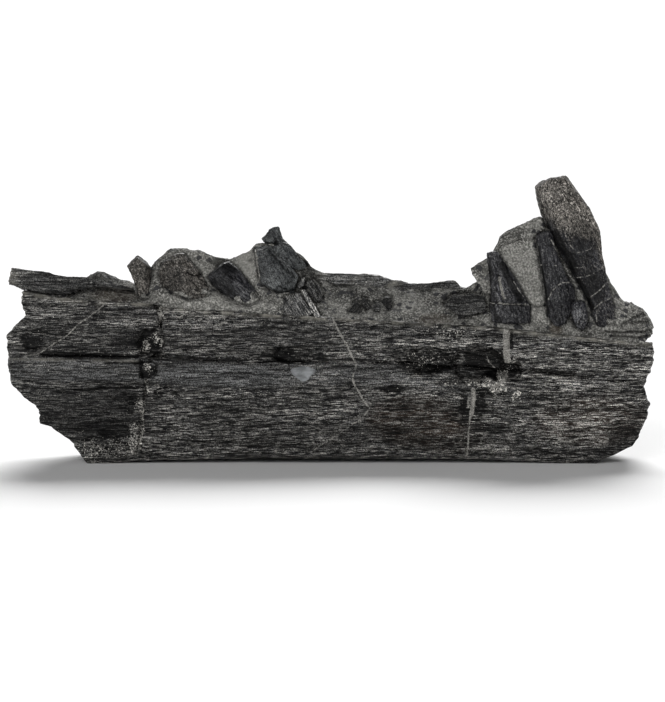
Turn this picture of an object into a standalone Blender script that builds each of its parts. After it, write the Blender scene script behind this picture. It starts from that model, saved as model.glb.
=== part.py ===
# A broken length of a large ichthyosaur's lower jaw, with teeth and bone held in its limestone.
# Lengths in the constants are millimetres. The outer side of the jaw faces -Y, and it stands on z = 0.

import math

import bmesh
import bpy
from mathutils import Vector, noise
from numpy import interp

MM = 0.001
GAP = 0.3  # clear space between pieces that touch
POCKET = 0.5  # how far a tooth's pocket in the rock is larger than the tooth
MERGE = 0.02  # corners closer than this are one

# Outer wall of the jaw: x, z along its top edge
WALL_TOP = [(-154, 86), (-135, 83), (-110, 81), (-86, 80), (-82, 78), (-50, 76), (-23, 74.5), (35, 71),
            (80, 68.5), (105, 65.5), (135, 62.5), (160, 60)]
# Broken ends of the outer wall: z, x going up
LEFT_BREAK = [(0, -122), (8, -127), (15, -135), (19.5, -143.5), (27.5, -146), (34, -154), (41.5, -160),
              (56.5, -161), (63.5, -162.5), (74, -152), (80, -154.5), (86, -154)]
RIGHT_BREAK = [(0, 134), (6.5, 146), (9, 152), (19, 157.5), (29, 160), (38.5, 157.5), (50.5, 160.5), (60, 160)]
# The long groove on the outer side: x, z of its line, and x, depth
GROOVE_LINE = [(-163, 55), (-92, 54), (-80, 53), (-40, 51.5), (0, 52), (35, 51), (60, 49), (100, 47), (135, 42.5),
               (160, 41.5)]
GROOVE_DEPTH = [(-160, 0.5), (-145, 3), (-110, 4), (-88, 2), (-45, 4), (-25, 5), (10, 2.5), (30, 4), (60, 6),
                (85, 7), (95, 4), (130, 2.5), (160, 1.5)]
# Pits in the outer side: x, z, half length, half height, depth
PITS = [(-90, 60.5, 7, 8, 5), (-91.5, 46.5, 5.5, 7, 4), (74, 50, 15, 9, 6), (90, 46.5, 6, 6, 4), (-18, 55, 10, 5, 3),
        (-148, 64, 12, 7, 2), (-92, 30, 5, 5, 1.5)]
FRONT = -26  # the outer side where it bulges most
LIP_FRONT = -22.5  # the outer side above the groove
EDGE_FRONT = -20  # the outer side at its top edge
FOOT_FRONT = -20  # the outer side at the ground
LEDGE = 15  # height of the slope below the groove
WALL_BACK = -9  # inner side of the outer wall
FLOOR_BACK = 7.7  # where the floor of the trough ends
FLOOR_LOW = 20
FLOOR_HIGH = 25

# Inner wall of the jaw: x, z along its top, and z, y of its back
INNER_FRONT = 8
INNER_TOP = [(-150, 76), (-100, 84), (-60, 90), (-14, 99), (-6, 94.5), (0, 93.5), (25, 92.5), (39, 88.5), (50, 88.5),
             (63, 90), (66, 87), (76, 84), (110, 78), (155, 60)]
INNER_LEFT = [(0, -116), (20, -136), (42, -153), (60, -156), (85, -150)]
INNER_RIGHT = [(0, 128), (10, 146), (30, 155), (62, 155), (100, 150)]
INNER_BACK = [(0, 20), (10, 24), (35, 26), (60, 25), (80, 20), (100, 15)]

# Rock in the trough: x, z along its top, and how far forward it starts and how far back it reaches
ROCK_TOP = [(-152, 87), (-125, 90), (-117, 95), (-105, 90), (-98, 88.5), (-90, 96.5), (-81, 105.5), (-72, 106),
            (-60, 102.5), (-50, 100.5), (-41, 104.5), (-34, 109), (-20, 107), (-12, 100.5), (-6, 91), (0, 88.5),
            (35, 85.5), (73, 85.5), (82, 104), (89, 115), (105, 122.5), (112, 119), (135, 100), (143.5, 85),
            (147.5, 80), (157.5, 76), (163, 69)]
ROCK_LEFT = -152
ROCK_RIGHT = [(25, 152), (60, 157), (64, 162), (69, 163)]
ROCK_FRONT = -17
ROCK_LEAN = [(-25, 15), (-8, 20), (60, 20), (82, 15)]
ROCK_BACK = 7.7
ROCK_BOTTOM = 25.3
ROCK_FLAKE = [(69.5, 96.5), (78, 102), (78, 105), (82, 104), (82, 84), (76.5, 85), (73.5, 87.5), (71.5, 93)]

# Teeth: x, z, half width, going along each tooth, with y of its axis and the ratio of its depth to its width
TEETH = {
    "tooth_stub": {
        "stations": [(-96.5, 102, 2), (-96, 98.5, 5.5), (-94.5, 92, 4.6), (-93, 86, 3.4), (-91.5, 82.5, 1.6)],
        "y": -8, "depth": 0.8, "colour": "tooth_brown"},
    "tooth_broken": {
        "stations": [(-73.5, 103.5, 2), (-74.5, 99.5, 8), (-74, 94, 11.3), (-72.5, 88, 11.5), (-70, 84, 9),
                     (-68.5, 81.5, 4)],
        "y": -9, "depth": 0.62, "colour": "tooth_brown"},
    "tooth_dark": {
        "stations": [(-58.5, 98, 2.5), (-55.5, 95, 6), (-51, 91, 8), (-46, 86.5, 7.8), (-42, 83, 6),
                     (-39.5, 80.5, 3)],
        "y": -10, "depth": 0.75, "colour": "tooth_black"},
    "tooth_grey": {
        "stations": [(-34.5, 109.5, 2.5), (-33, 106, 6.5), (-29.5, 100, 10.2), (-26.5, 94, 11), (-24.5, 89, 9),
                     (-23.5, 85.5, 4)],
        "y": -10, "depth": 0.55, "colour": "tooth_grey"},
    "tooth_behind": {
        "stations": [(-28.5, 117.5, 1.8), (-28, 114, 4.2), (-25.5, 108, 6.8), (-20.5, 102, 7.4), (-15.5, 97, 5.6),
                     (-12, 93.5, 2.5)],
        "y": 3, "depth": 0.6, "colour": "tooth_grey"},
    "tooth_narrow": {
        "stations": [(80.5, 104.8, 2), (82.5, 96.5, 4.2), (86, 87.5, 7.2), (88.5, 81, 9), (89.5, 75.5, 10),
                     (89.5, 70, 7.5)],
        "y": -11, "depth": 0.45, "colour": "tooth_black"},
    "tooth_long": {
        "stations": [(106.2, 113.8, 2.8), (108, 106.5, 5.2), (111.5, 96.5, 7), (114, 88, 8.2), (113.5, 79.5, 6.5),
                     (113.8, 72, 5), (113.5, 67, 2.2)],
        "y": -11.5, "depth": 0.6, "colour": "tooth_black"},
    "tooth_bulb": {
        "stations": [(124, 81.5, 2.2), (124.2, 76.5, 4.3), (124.8, 71, 4), (125.5, 67, 1.8)],
        "y": -12, "depth": 0.85, "colour": "tooth_black"},
    "tooth_big": {
        "stations": [(112.5, 142.5, 6), (113, 139.6, 9.6), (115.8, 131.5, 10.6), (120.2, 121.5, 12.2),
                     (124, 111.5, 12), (127.8, 100.5, 10.2), (131.8, 89, 8.2), (135.3, 79, 6.6), (138, 71, 4.2),
                     (139, 67.2, 1.8)],
        "y": -4, "depth": 0.82, "colour": "tooth_brown"},
}
TOOTH_SIDES = 12

# Loose bits of bone in the rock: outline x, z, then how far they stand before the rock, and their thickness
CHIPS = {
    "bone_block": {"outline": [(-23.5, 83), (-19, 84.5), (-15.5, 85.5), (-8.5, 75.2), (-11, 74.4), (-23, 75.6)],
                   "proud": 3, "thickness": 6},
    "bone_strip": {"outline": [(-14, 87), (-12.3, 86.5), (-4.5, 73.6), (-7, 73.4)], "proud": 3.5, "thickness": 5},
    "bone_sliver": {"outline": [(-16.4, 86.4), (-13.4, 89), (-12.8, 92.5), (-15, 91)], "proud": 2, "thickness": 4},
    "bone_lump": {"outline": [(-11.8, 90), (-8, 91.5), (-5, 88), (-3.5, 82), (-6.5, 80)], "proud": 2,
                  "thickness": 5},
    "bone_chip_1": {"outline": [(9.5, 75.5), (12, 81.3), (15, 79.5), (14.3, 76)], "proud": 2, "thickness": 4},
    "bone_chip_2": {"outline": [(15.8, 77), (16, 82.5), (19, 82), (20.5, 77.5)], "proud": 2, "thickness": 4},
    "bone_chip_3": {"outline": [(21.5, 75.8), (21.8, 80.5), (25, 80), (25.3, 76)], "proud": 2, "thickness": 4},
    "bone_chip_4": {"outline": [(26.2, 78), (26, 82), (30.5, 81.5), (30.2, 76.5)], "proud": 1.5, "thickness": 4},
    "bone_flake": {"outline": [(57, 79), (61, 83), (70, 84.5), (77, 83.5), (77.5, 76), (66, 74)], "proud": 2.5,
                   "thickness": 5},
}

# Splinter on the upper left edge: x, z of its top, x, z of its underside
SPLINTER_TOP = [(-158, 98), (-152, 97.5), (-140, 96), (-131, 93.5), (-122, 93.5), (-113, 91), (-105, 89.5),
                (-98, 88)]
SPLINTER_UNDER = [(-159.5, 90), (-154, 87.3), (-140, 85.3), (-132, 84.4), (-125, 87), (-117, 88), (-98, 86.4)]
SPLINTER_FRONT = -21
SPLINTER_BACK = -8

COLOURS = {
    "bone": ((0.045, 0.044, 0.043), 0.55),
    "rock": ((0.17, 0.165, 0.145), 0.85),
    "tooth_brown": ((0.10, 0.088, 0.075), 0.5),
    "tooth_grey": ((0.085, 0.087, 0.085), 0.45),
    "tooth_black": ((0.03, 0.03, 0.033), 0.4),
}


def clear_scene():
    for obj in list(bpy.data.objects):
        bpy.data.objects.remove(obj, do_unlink=True)


def material(name):
    found = bpy.data.materials.get(name)
    if found:
        return found
    colour, roughness = COLOURS[name]
    made = bpy.data.materials.new(name)
    made.use_nodes = True
    shader = made.node_tree.nodes["Principled BSDF"]
    shader.inputs["Base Color"].default_value = (*colour, 1)
    shader.inputs["Roughness"].default_value = roughness
    shader.inputs["Metallic"].default_value = 0
    return made


def along(points, place):
    return float(interp(place, [p[0] for p in points], [p[1] for p in points]))


def lump(x, z, size, seed):
    # Smooth bumps between -1 and 1, the same on each run
    return noise.noise(Vector((x / size, seed * 7.3, z / size)))


def finish(bm, name, colour, smooth_angle=35):
    bmesh.ops.triangulate(bm, faces=bm.faces)
    bmesh.ops.recalc_face_normals(bm, faces=bm.faces)
    for vertex in bm.verts:
        vertex.co *= MM
    mesh = bpy.data.meshes.new(name)
    bm.to_mesh(mesh)
    bm.free()
    mesh.shade_smooth()
    mesh.set_sharp_from_angle(angle=math.radians(smooth_angle))
    mesh.materials.append(material(colour))
    obj = bpy.data.objects.new(name, mesh)
    bpy.context.scene.collection.objects.link(obj)
    return obj


def block(columns, rows, layers):
    # A cube of side 1 with a corner at the origin, cut into cells along x, z and y
    bm = bmesh.new()
    bmesh.ops.create_cube(bm, size=1)
    bmesh.ops.translate(bm, verts=bm.verts, vec=(0.5, 0.5, 0.5))
    for axis, cells in ((0, columns), (2, rows), (1, layers)):
        edges = [e for e in bm.edges if abs(e.verts[0].co[axis] - e.verts[1].co[axis]) > 0.9]
        bmesh.ops.subdivide_edges(bm, edges=edges, cuts=cells - 1, use_grid_fill=True)
    return bm


def flatten(bm, y):
    # Joins the faces that lie in one plane square to Y, which leaves few triangles on the hidden sides
    flat = [f for f in bm.faces if all(abs(v.co.y - y) < 0.001 for v in f.verts)]
    edges = {e for f in flat for e in f.edges if all(g in flat for g in e.link_faces)}
    bmesh.ops.dissolve_edges(bm, edges=list(edges), use_verts=True, use_face_split=False)


def front_of_jaw(x, z):
    line = along(GROOVE_LINE, x)
    depth = along(GROOVE_DEPTH, x)
    top = along(WALL_TOP, x)
    if z >= line:
        rise = (z - line) / (top - line)
        y = LIP_FRONT + (EDGE_FRONT - LIP_FRONT) * max(0, rise - 0.6) / 0.4
    elif z >= line - LEDGE:
        fall = (line - z) / LEDGE
        y = LIP_FRONT + depth + (FRONT - LIP_FRONT - depth) * fall ** 0.8
    else:
        low = 1 - z / (line - LEDGE)
        y = FRONT + (FOOT_FRONT - FRONT) * low ** 2.2
    for pit_x, pit_z, half_long, half_high, pit_depth in PITS:
        away = ((x - pit_x) / half_long) ** 2 + ((z - pit_z) / half_high) ** 2
        if away < 1:
            y += pit_depth * (1 - away)
    end = max(0, abs(x) / 162 - 0.8) / 0.2
    return y + 3 * end ** 2 + 0.5 * lump(x / 3, z, 6, 1)


def back_of_jaw(z):
    return along([(FLOOR_LOW, FLOOR_BACK), (FLOOR_HIGH, WALL_BACK)], z)


def jaw_row_height(row, x):
    # Heights of the rows of corners: the foot, the trough's floor, the ledge, the groove and the wall
    line = along(GROOVE_LINE, x)
    top = along(WALL_TOP, x)
    low = [0, 5, 12, FLOOR_LOW, FLOOR_HIGH]
    ledge = [line - LEDGE * part for part in (0.75, 0.5, 0.25, 0.03)]
    wall = [line + (top - line) * part for part in (0.06, 0.25, 0.45, 0.65, 0.85, 1)]
    return (low + [(FLOOR_HIGH + line - LEDGE * 0.75) / 2] + ledge + wall)[row]


def make_jaw_bone():
    rows = 15
    bm = block(columns=58, rows=rows, layers=4)
    for vertex in bm.verts:
        part, deep, row = vertex.co.x, vertex.co.y, round(vertex.co.z * rows)
        x = 320 * (part - 0.5)
        for _ in range(3):
            z = jaw_row_height(row, x)
            x = along(LEFT_BREAK, z) * (1 - part) + along(RIGHT_BREAK, z) * part
        broken = 1 if part in (0, 1) else 0
        x += broken * 1.5 * lump(z, deep * 40, 9, 2)
        y = front_of_jaw(x, z) * (1 - deep) + back_of_jaw(z) * deep
        if row == 0 and deep == 0:
            z = 2.5 * max(0, 1 - (x / 115) ** 4)
        if row == rows:
            z += 0.8 * lump(x, deep * 30, 8, 3) - 0.4
        vertex.co = (x, y, z)
    flatten(bm, WALL_BACK)
    return finish(bm, "jaw_bone", "bone")


def make_inner_jaw_bone():
    rows = 9
    bm = block(columns=36, rows=rows, layers=2)
    for vertex in bm.verts:
        part, deep, rise = vertex.co.x, vertex.co.y, vertex.co.z
        x = 300 * (part - 0.5)
        for _ in range(3):
            z = rise * along(INNER_TOP, x)
            x = along(INNER_LEFT, z) * (1 - part) + along(INNER_RIGHT, z) * part
        if part in (0, 1):
            x += 1.5 * lump(z, deep * 40, 9, 4)
        back = along(INNER_BACK, z) + 1.2 * lump(x / 2, z, 12, 5) - 0.6
        y = INNER_FRONT * (1 - deep) + back * deep
        if rise == 1:
            z += 0.8 * lump(x, 0, 6, 6) - 0.4 - 2 * deep
        vertex.co = (x, y, z)
    flatten(bm, INNER_FRONT)
    return finish(bm, "inner_jaw_bone", "bone")


def rock_slope(x, z):
    # Front of the rock above the wall's edge, which leans back towards the inner wall
    foot = along(WALL_TOP, x)
    top = max(foot + 4, along(ROCK_TOP, x))
    rise = min(1, max(0, (z - foot) / (top - foot)))
    return ROCK_FRONT + along(ROCK_LEAN, x) * rise + 1.2 * lump(x, z, 7, 7)


def rock_row_height(row, rows, x):
    # The two lowest rows are inside the trough, and the others climb from the wall's edge to the top
    edge = along(WALL_TOP, x) + GAP + 0.5
    top = max(edge + 3, along(ROCK_TOP, x))
    if row < 2:
        return (ROCK_BOTTOM, edge)[row]
    return edge + (top - edge) * max(0.01, (row - 2) / (rows - 2))


def make_matrix():
    rows = 9
    bm = block(columns=50, rows=rows, layers=2)
    for vertex in bm.verts:
        part, deep, row = vertex.co.x, vertex.co.y, round(vertex.co.z * rows)
        x = 315 * (part - 0.5)
        for _ in range(3):
            z = rock_row_height(row, rows, x)
            x = ROCK_LEFT * (1 - part) + along(ROCK_RIGHT, z) * part
        front = WALL_BACK + GAP if row < 2 else rock_slope(x, z)
        bare = max(0, z - along(INNER_TOP, x) - 3)
        back = ROCK_BACK - min(3.5, 0.3 * bare) * (1 + lump(x, z, 9, 10))
        y = front * (1 - deep) + back * deep
        if row == rows:
            z += min(1.5, 0.5 * (z - rock_row_height(row - 1, rows, x))) * lump(x, deep * 14, 5, 8)
        vertex.co = (x, y, z)
    flatten(bm, ROCK_BACK)
    rock = finish(bm, "matrix", "rock")
    flake = make_slab("rock_flake_shape", ROCK_FLAKE, -9, 5, "rock")
    flake.hide_render = True
    flake.display_type = "WIRE"
    add_boolean(rock, flake, "UNION")
    return rock


def make_slab(name, outline, front, thickness, colour):
    bm = bmesh.new()
    face = bm.faces.new([bm.verts.new((x, front, z)) for x, z in outline])
    grown = bmesh.ops.extrude_face_region(bm, geom=[face])
    moved = [g for g in grown["geom"] if isinstance(g, bmesh.types.BMVert)]
    bmesh.ops.translate(bm, verts=moved, vec=(0, thickness, 0))
    bmesh.ops.recalc_face_normals(bm, faces=bm.faces)
    edges = [e for e in bm.edges if e.calc_length() > 1.6]
    bmesh.ops.bevel(bm, geom=edges, offset=0.5, segments=1, profile=0.5, affect="EDGES", material=-1)
    return finish(bm, name, colour, smooth_angle=20)


def make_chips():
    made = []
    for name, chip in CHIPS.items():
        middle_x = sum(x for x, _ in chip["outline"]) / len(chip["outline"])
        middle_z = sum(z for _, z in chip["outline"]) / len(chip["outline"])
        front = rock_slope(middle_x, middle_z) - chip["proud"]
        made.append(make_slab(name, chip["outline"], front, chip["thickness"], "bone"))
    return made


def make_splinter():
    bm = block(columns=14, rows=3, layers=3)
    for vertex in bm.verts:
        part, deep, rise = vertex.co.x, vertex.co.y, vertex.co.z
        x = -159 + part * 61 + (1.2 * (rise - 0.3) if part == 0 else 0)
        low = along(SPLINTER_UNDER, x)
        z = low + (along(SPLINTER_TOP, x) - low) * rise
        y = SPLINTER_FRONT + (SPLINTER_BACK - SPLINTER_FRONT) * deep
        if deep == 0:
            y += 2.5 * (2 * rise - 1) ** 2 + 4 * part ** 3
        vertex.co = (x, y, z + 0.4 * lump(x, deep * 20, 6, 9))
    return finish(bm, "bone_splinter", "bone")


def place_ring(ring, tooth, step):
    # Sets one ring of corners square to the tooth's axis
    stations = tooth["stations"]
    x, z, half = stations[step]
    before = Vector(stations[max(0, step - 1)][:2])
    after = Vector(stations[min(len(stations) - 1, step + 1)][:2])
    down = (after - before).normalized()
    for count, vertex in enumerate(ring):
        turn = 2 * math.pi * count / TOOTH_SIDES
        half_here = half * (1 + 0.06 * math.sin(3 * turn + step))
        across = half_here * math.cos(turn)
        y = tooth["y"] + half_here * tooth["depth"] * math.sin(turn)
        vertex.co = (x - across * down.y, y, z + across * down.x)


def make_tooth(name, tooth):
    # A ring is drawn down the axis of the tooth, and both ends are closed
    bm = bmesh.new()
    ring = bmesh.ops.create_circle(bm, segments=TOOTH_SIDES, radius=1)["verts"]
    place_ring(ring, tooth, 0)
    for step in range(1, len(tooth["stations"])):
        edges = [e for e in bm.edges if e.verts[0] in ring and e.verts[1] in ring]
        grown = bmesh.ops.extrude_edge_only(bm, edges=edges)["geom"]
        new = {g for g in grown if isinstance(g, bmesh.types.BMVert)}
        ring = [next(e.other_vert(v) for e in v.link_edges if e.other_vert(v) in new) for v in ring]
        place_ring(ring, tooth, step)
    bmesh.ops.holes_fill(bm, edges=[e for e in bm.edges if e.is_boundary], sides=0)
    return finish(bm, name, tooth["colour"])


def add_boolean(obj, cutter, operation):
    cut = obj.modifiers.new(cutter.name, "BOOLEAN")
    cut.operation = operation
    cut.solver = "EXACT"
    cut.object = cutter


def make_pocket(rock, piece):
    # The rock is moulded round the piece, with a small clear space
    cutter = piece.copy()
    cutter.data = piece.data.copy()
    cutter.name = "pocket_" + piece.name
    bpy.context.scene.collection.objects.link(cutter)
    bm = bmesh.new()
    bm.from_mesh(cutter.data)
    bm.normal_update()
    for vertex in bm.verts:
        vertex.co += vertex.normal * POCKET * MM
    bm.to_mesh(cutter.data)
    bm.free()
    cutter.hide_render = True
    cutter.display_type = "WIRE"
    add_boolean(rock, cutter, "DIFFERENCE")


def islands(bm):
    # The corners of the mesh in connected groups, the largest first
    waiting = set(bm.verts)
    groups = []
    while waiting:
        group = [waiting.pop()]
        for vertex in group:
            near = {e.other_vert(vertex) for e in vertex.link_edges} & waiting
            waiting -= near
            group.extend(near)
        groups.append(group)
    return sorted(groups, key=len, reverse=True)


def settle_rock(rock):
    # Makes the pockets final and removes the crumbs of rock that they leave in front of a piece
    cutters = [cut.object for cut in rock.modifiers]
    depsgraph = bpy.context.evaluated_depsgraph_get()
    carved = bpy.data.meshes.new_from_object(rock.evaluated_get(depsgraph))
    rock.modifiers.clear()
    rock.data = carved
    for cutter in cutters:
        bpy.data.objects.remove(cutter, do_unlink=True)
    bm = bmesh.new()
    bm.from_mesh(carved)
    bmesh.ops.remove_doubles(bm, verts=bm.verts, dist=MERGE * MM)
    bmesh.ops.dissolve_degenerate(bm, edges=bm.edges, dist=MERGE * MM)
    crumbs = [vertex for group in islands(bm)[1:] for vertex in group]
    bmesh.ops.delete(bm, geom=crumbs, context="VERTS")
    bm.to_mesh(carved)
    bm.free()


def main():
    clear_scene()
    make_jaw_bone()
    make_inner_jaw_bone()
    rock = make_matrix()
    held = [make_splinter()]
    held += [make_tooth(name, tooth) for name, tooth in TEETH.items()]
    held += make_chips()
    for piece in held:
        make_pocket(rock, piece)
    settle_rock(rock)


main()
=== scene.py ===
# Fossil ichthyosaur jaw: the finished bone, teeth and rock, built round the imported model.
# Lengths below are millimetres unless a note says otherwise, and mm turns them into metres.
import itertools
import math

import bmesh
import bpy
import numpy as np
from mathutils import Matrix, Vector


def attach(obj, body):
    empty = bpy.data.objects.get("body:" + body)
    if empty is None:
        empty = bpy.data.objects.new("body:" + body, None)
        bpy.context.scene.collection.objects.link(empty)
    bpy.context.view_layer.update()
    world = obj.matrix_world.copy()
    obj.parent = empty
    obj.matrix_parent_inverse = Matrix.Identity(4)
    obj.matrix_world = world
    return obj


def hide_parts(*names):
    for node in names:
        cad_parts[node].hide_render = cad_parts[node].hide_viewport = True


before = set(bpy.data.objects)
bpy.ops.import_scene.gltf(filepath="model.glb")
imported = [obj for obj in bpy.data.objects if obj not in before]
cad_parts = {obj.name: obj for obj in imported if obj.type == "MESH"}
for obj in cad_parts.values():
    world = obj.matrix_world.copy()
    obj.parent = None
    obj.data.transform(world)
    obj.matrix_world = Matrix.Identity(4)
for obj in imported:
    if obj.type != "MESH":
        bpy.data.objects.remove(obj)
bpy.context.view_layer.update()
mm = 0.001
print("packed model:", len(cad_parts), "nodes")


# Numbers that every piece uses

slopeTable = np.random.default_rng(12).normal(size=(256, 3))
slopeTable /= np.linalg.norm(slopeTable, axis=1)[:, None]
shuffleTable = np.random.default_rng(5).permutation(256)
seedStep = 17.31  # how far apart the bumps of two seeds lie


def bumps(places, size, seed=0, gain=1.6):
    # Smooth rises and dips from about -1 to 1, of one size or one for each axis
    spot = places / np.asarray(size, float) + seed * seedStep
    cell = np.floor(spot).astype(int)
    part = spot - cell
    fade = part ** 3 * (part * (part * 6 - 15) + 10)
    total = np.zeros(len(places))
    for corner in itertools.product((0, 1), repeat=3):
        at = (cell + corner) & 255
        pick = shuffleTable[(shuffleTable[(shuffleTable[at[:, 0]] + at[:, 1]) & 255] + at[:, 2]) & 255]
        reach = ((part - corner) * slopeTable[pick]).sum(axis=1)
        total += reach * np.where(corner, fade, 1 - fade).prod(axis=1)
    return total * gain


def rough(places, size, seed=0, layers=3):
    # Bumps on bumps, each layer half as large as the one before
    return sum(bumps(places, np.asarray(size, float) / 2 ** n, seed + n) / 2 ** n for n in range(layers))


def crest(places, size, seed=0, narrow=2.4):
    # Narrow ridges, 1 on their tops and near 0 between them
    return 1 - np.minimum(1, np.abs(bumps(places, size, seed)) * narrow)


def join(x, y, z):
    # One table of places from three rows of numbers, or single numbers
    return np.stack(np.broadcast_arrays(x, y, z), axis=1)


def along(points, place):
    points = np.asarray(points, float)
    return np.interp(place, points[:, 0], points[:, 1])


def soft(value, low, high):
    # 0 below low, 1 above high and smooth between them
    part = np.clip((value - low) / (high - low), 0, 1)
    return part * part * (3 - 2 * part)


def nearLine(x, z, points):
    # Distance in x and z to a line of straight runs
    best = np.full(len(x), 1e9)
    for (x0, z0), (x1, z1) in zip(points, points[1:]):
        runX, runZ = x1 - x0, z1 - z0
        part = np.clip(((x - x0) * runX + (z - z0) * runZ) / (runX ** 2 + runZ ** 2), 0, 1)
        best = np.minimum(best, np.hypot(x - x0 - part * runX, z - z0 - part * runZ))
    return best


def nearLines(x, z, lines):
    # Distance to the edge of the nearest of several lines: half width, then the points of each
    return np.min([nearLine(x, z, points) - half for half, points in lines], axis=0)


def cutCracks(y, x, z, cracks, core=0.3, share=1):
    # Cracks in a face: half width, depth and points of each. Core is the part of the width at full depth.
    for half, depth, points in cracks:
        y = y + depth * (1 - soft(nearLine(x, z, points), core * half, half)) * share
    return y


def patches(x, z, spots):
    # Soft oval patches: x, z, half length, half height, strength
    total = np.zeros(len(x))
    for spotX, spotZ, halfLong, halfHigh, strength in spots:
        near = np.clip(1 - ((x - spotX) / halfLong) ** 2 - ((z - spotZ) / halfHigh) ** 2, 0, 1)
        total += strength * near * (2 - near)
    return total


# Meshes

def makeBlock(columns, rows, layers):
    # A cube of side 1 with one corner at the origin, cut into cells along x, z and y
    bm = bmesh.new()
    bmesh.ops.create_cube(bm, size=1)
    bmesh.ops.translate(bm, verts=bm.verts, vec=(0.5, 0.5, 0.5))
    for axis, cells in ((0, columns), (2, rows), (1, layers)):
        edges = [e for e in bm.edges if abs(e.verts[0].co[axis] - e.verts[1].co[axis]) > 0.9]
        bmesh.ops.subdivide_edges(bm, edges=edges, cuts=cells - 1, use_grid_fill=True)
    return bm


def plainSide(bm, side):
    # Swaps the small cells of one hidden side of a block, y = 0 or y = 1, for a single face
    hidden = [f for f in bm.faces if all(abs(v.co.y - side) < 1e-4 for v in f.verts)]
    bmesh.ops.delete(bm, geom=hidden, context="FACES")
    bmesh.ops.holes_fill(bm, edges=[e for e in bm.edges if e.is_boundary], sides=0)


def toMesh(bm, name):
    bmesh.ops.recalc_face_normals(bm, faces=bm.faces)
    mesh = bpy.data.meshes.new(name)
    bm.to_mesh(mesh)
    bm.free()
    return mesh


def readTable(rows, key):
    flat = np.empty(len(rows) * 3)
    rows.foreach_get(key, flat)
    return flat.reshape(-1, 3)


def readPlaces(mesh):
    return readTable(mesh.vertices, "co")


def writePlaces(mesh, places):
    mesh.vertices.foreach_set("co", np.ascontiguousarray(places, float).ravel())
    mesh.update()


def readNormals(mesh):
    return readTable(mesh.vertex_normals, "vector")


def roughen(mesh, places, layers):
    # Moves the surface out and in along its own normals: size, amount, seed of each layer
    writePlaces(mesh, places)
    height = sum(amount * rough(places, size, seed, 2) for size, amount, seed in layers)
    return places + readNormals(mesh) * height[:, None]


def pressFlat(places, planes, wear=0.15):
    # Breaks flat facets on a shape: a point on each plane, the way it faces, and how worn the facet is
    for count, (point, way) in enumerate(planes):
        way = np.asarray(way, float) / np.linalg.norm(way)
        proud = (places - np.asarray(point, float)) @ way + wear * rough(places, 3, 60 + count, 2)
        places = places - np.maximum(proud, 0)[:, None] * way
    return places


def plainRows(wall, rise, x):
    # How high each row of a wall is that stands on the ground
    return rise * along(wall["top"], x)


def layWall(name, wall, rows=plainRows, hidden=None):
    # A block drawn out to a top line and two broken ends. Ragged tells of the lumps on the ends: their
    # height, size and seed, and where they start. A hidden side becomes one plain face.
    bm = makeBlock(*wall["cells"])
    if hidden is not None:
        plainSide(bm, hidden)
    mesh = toMesh(bm, name)
    part, deep, rise = readPlaces(mesh).T
    x = wall["length"] * (part - 0.5)
    for _ in range(4):
        z = rows(wall, rise, x)
        x = along(wall["left"], z) * (1 - part) + along(wall["right"], z) * part
    places = join(x, deep * wall["thick"], z)
    height, size, seed, start = wall["ragged"]
    end = soft(np.abs(part - 0.5), start, 0.5) * np.sign(part - 0.5)
    x = x + end * (height * rough(places, size, seed) - 0.8)
    return mesh, places, x, z, deep, rise


def makeFibres(wall, places, x, z):
    # Fibres that run along a bone and sway up and down: kind, height, size and seed of each layer
    height, size, seed = wall["sway"]
    sway = join(x, 0, z + height * bumps(places, size, seed))
    return sum(amount * kind(sway, size, seed) for kind, amount, size, seed in wall["fibres"])


farMasks = {"vein": 99.0, "bare": 99.0}  # for pieces without veins or a bare patch


def nodeOf(name):
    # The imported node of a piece: boneChip1 stands for bone_chip_1
    return "".join("_" + sign.lower() if sign.isupper() or sign.isdigit() else sign for sign in name)


def finishPiece(name, mesh, places, paint, nodes, masks):
    # Puts a mesh made in millimetres in the scene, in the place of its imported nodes
    writePlaces(mesh, places * mm)
    mesh.shade_smooth()
    mesh.set_sharp_from_angle(angle=math.radians(60))
    # Painted shade: the upper sides of every piece are darkened to hold back the light from above
    paintedTopShade = 0.35 * soft(readNormals(mesh)[:, 2], 0.3, 0.95)  # darkens the upper sides
    masks = {**farMasks, **masks, "tone": masks["tone"] * (1 - paintedTopShade)}
    for maskName, values in masks.items():
        layer = mesh.attributes.new(maskName, "FLOAT", "POINT")
        layer.data.foreach_set("value", np.broadcast_to(np.asarray(values, float), len(places)).copy())
    mesh.materials.append(paint)
    piece = bpy.data.objects.new(name, mesh)
    bpy.context.scene.collection.objects.link(piece)
    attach(piece, "root")
    if nodes:
        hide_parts(*nodes)
    print(name + ":", len(mesh.polygons), "faces")


# Paint: every finish is built from these few nodes

def put(tree, kind, inputs, out=0, **settings):
    made = tree.nodes.new("ShaderNode" + kind)
    for key, value in settings.items():
        setattr(made, key, value)
    for key, value in inputs.items():
        if isinstance(value, bpy.types.NodeSocket):
            tree.links.new(value, made.inputs[key])
        else:
            made.inputs[key].default_value = value
    return made.outputs[out]


def mask(tree, name):
    return put(tree, "Attribute", {}, out="Fac", attribute_name=name)


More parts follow.
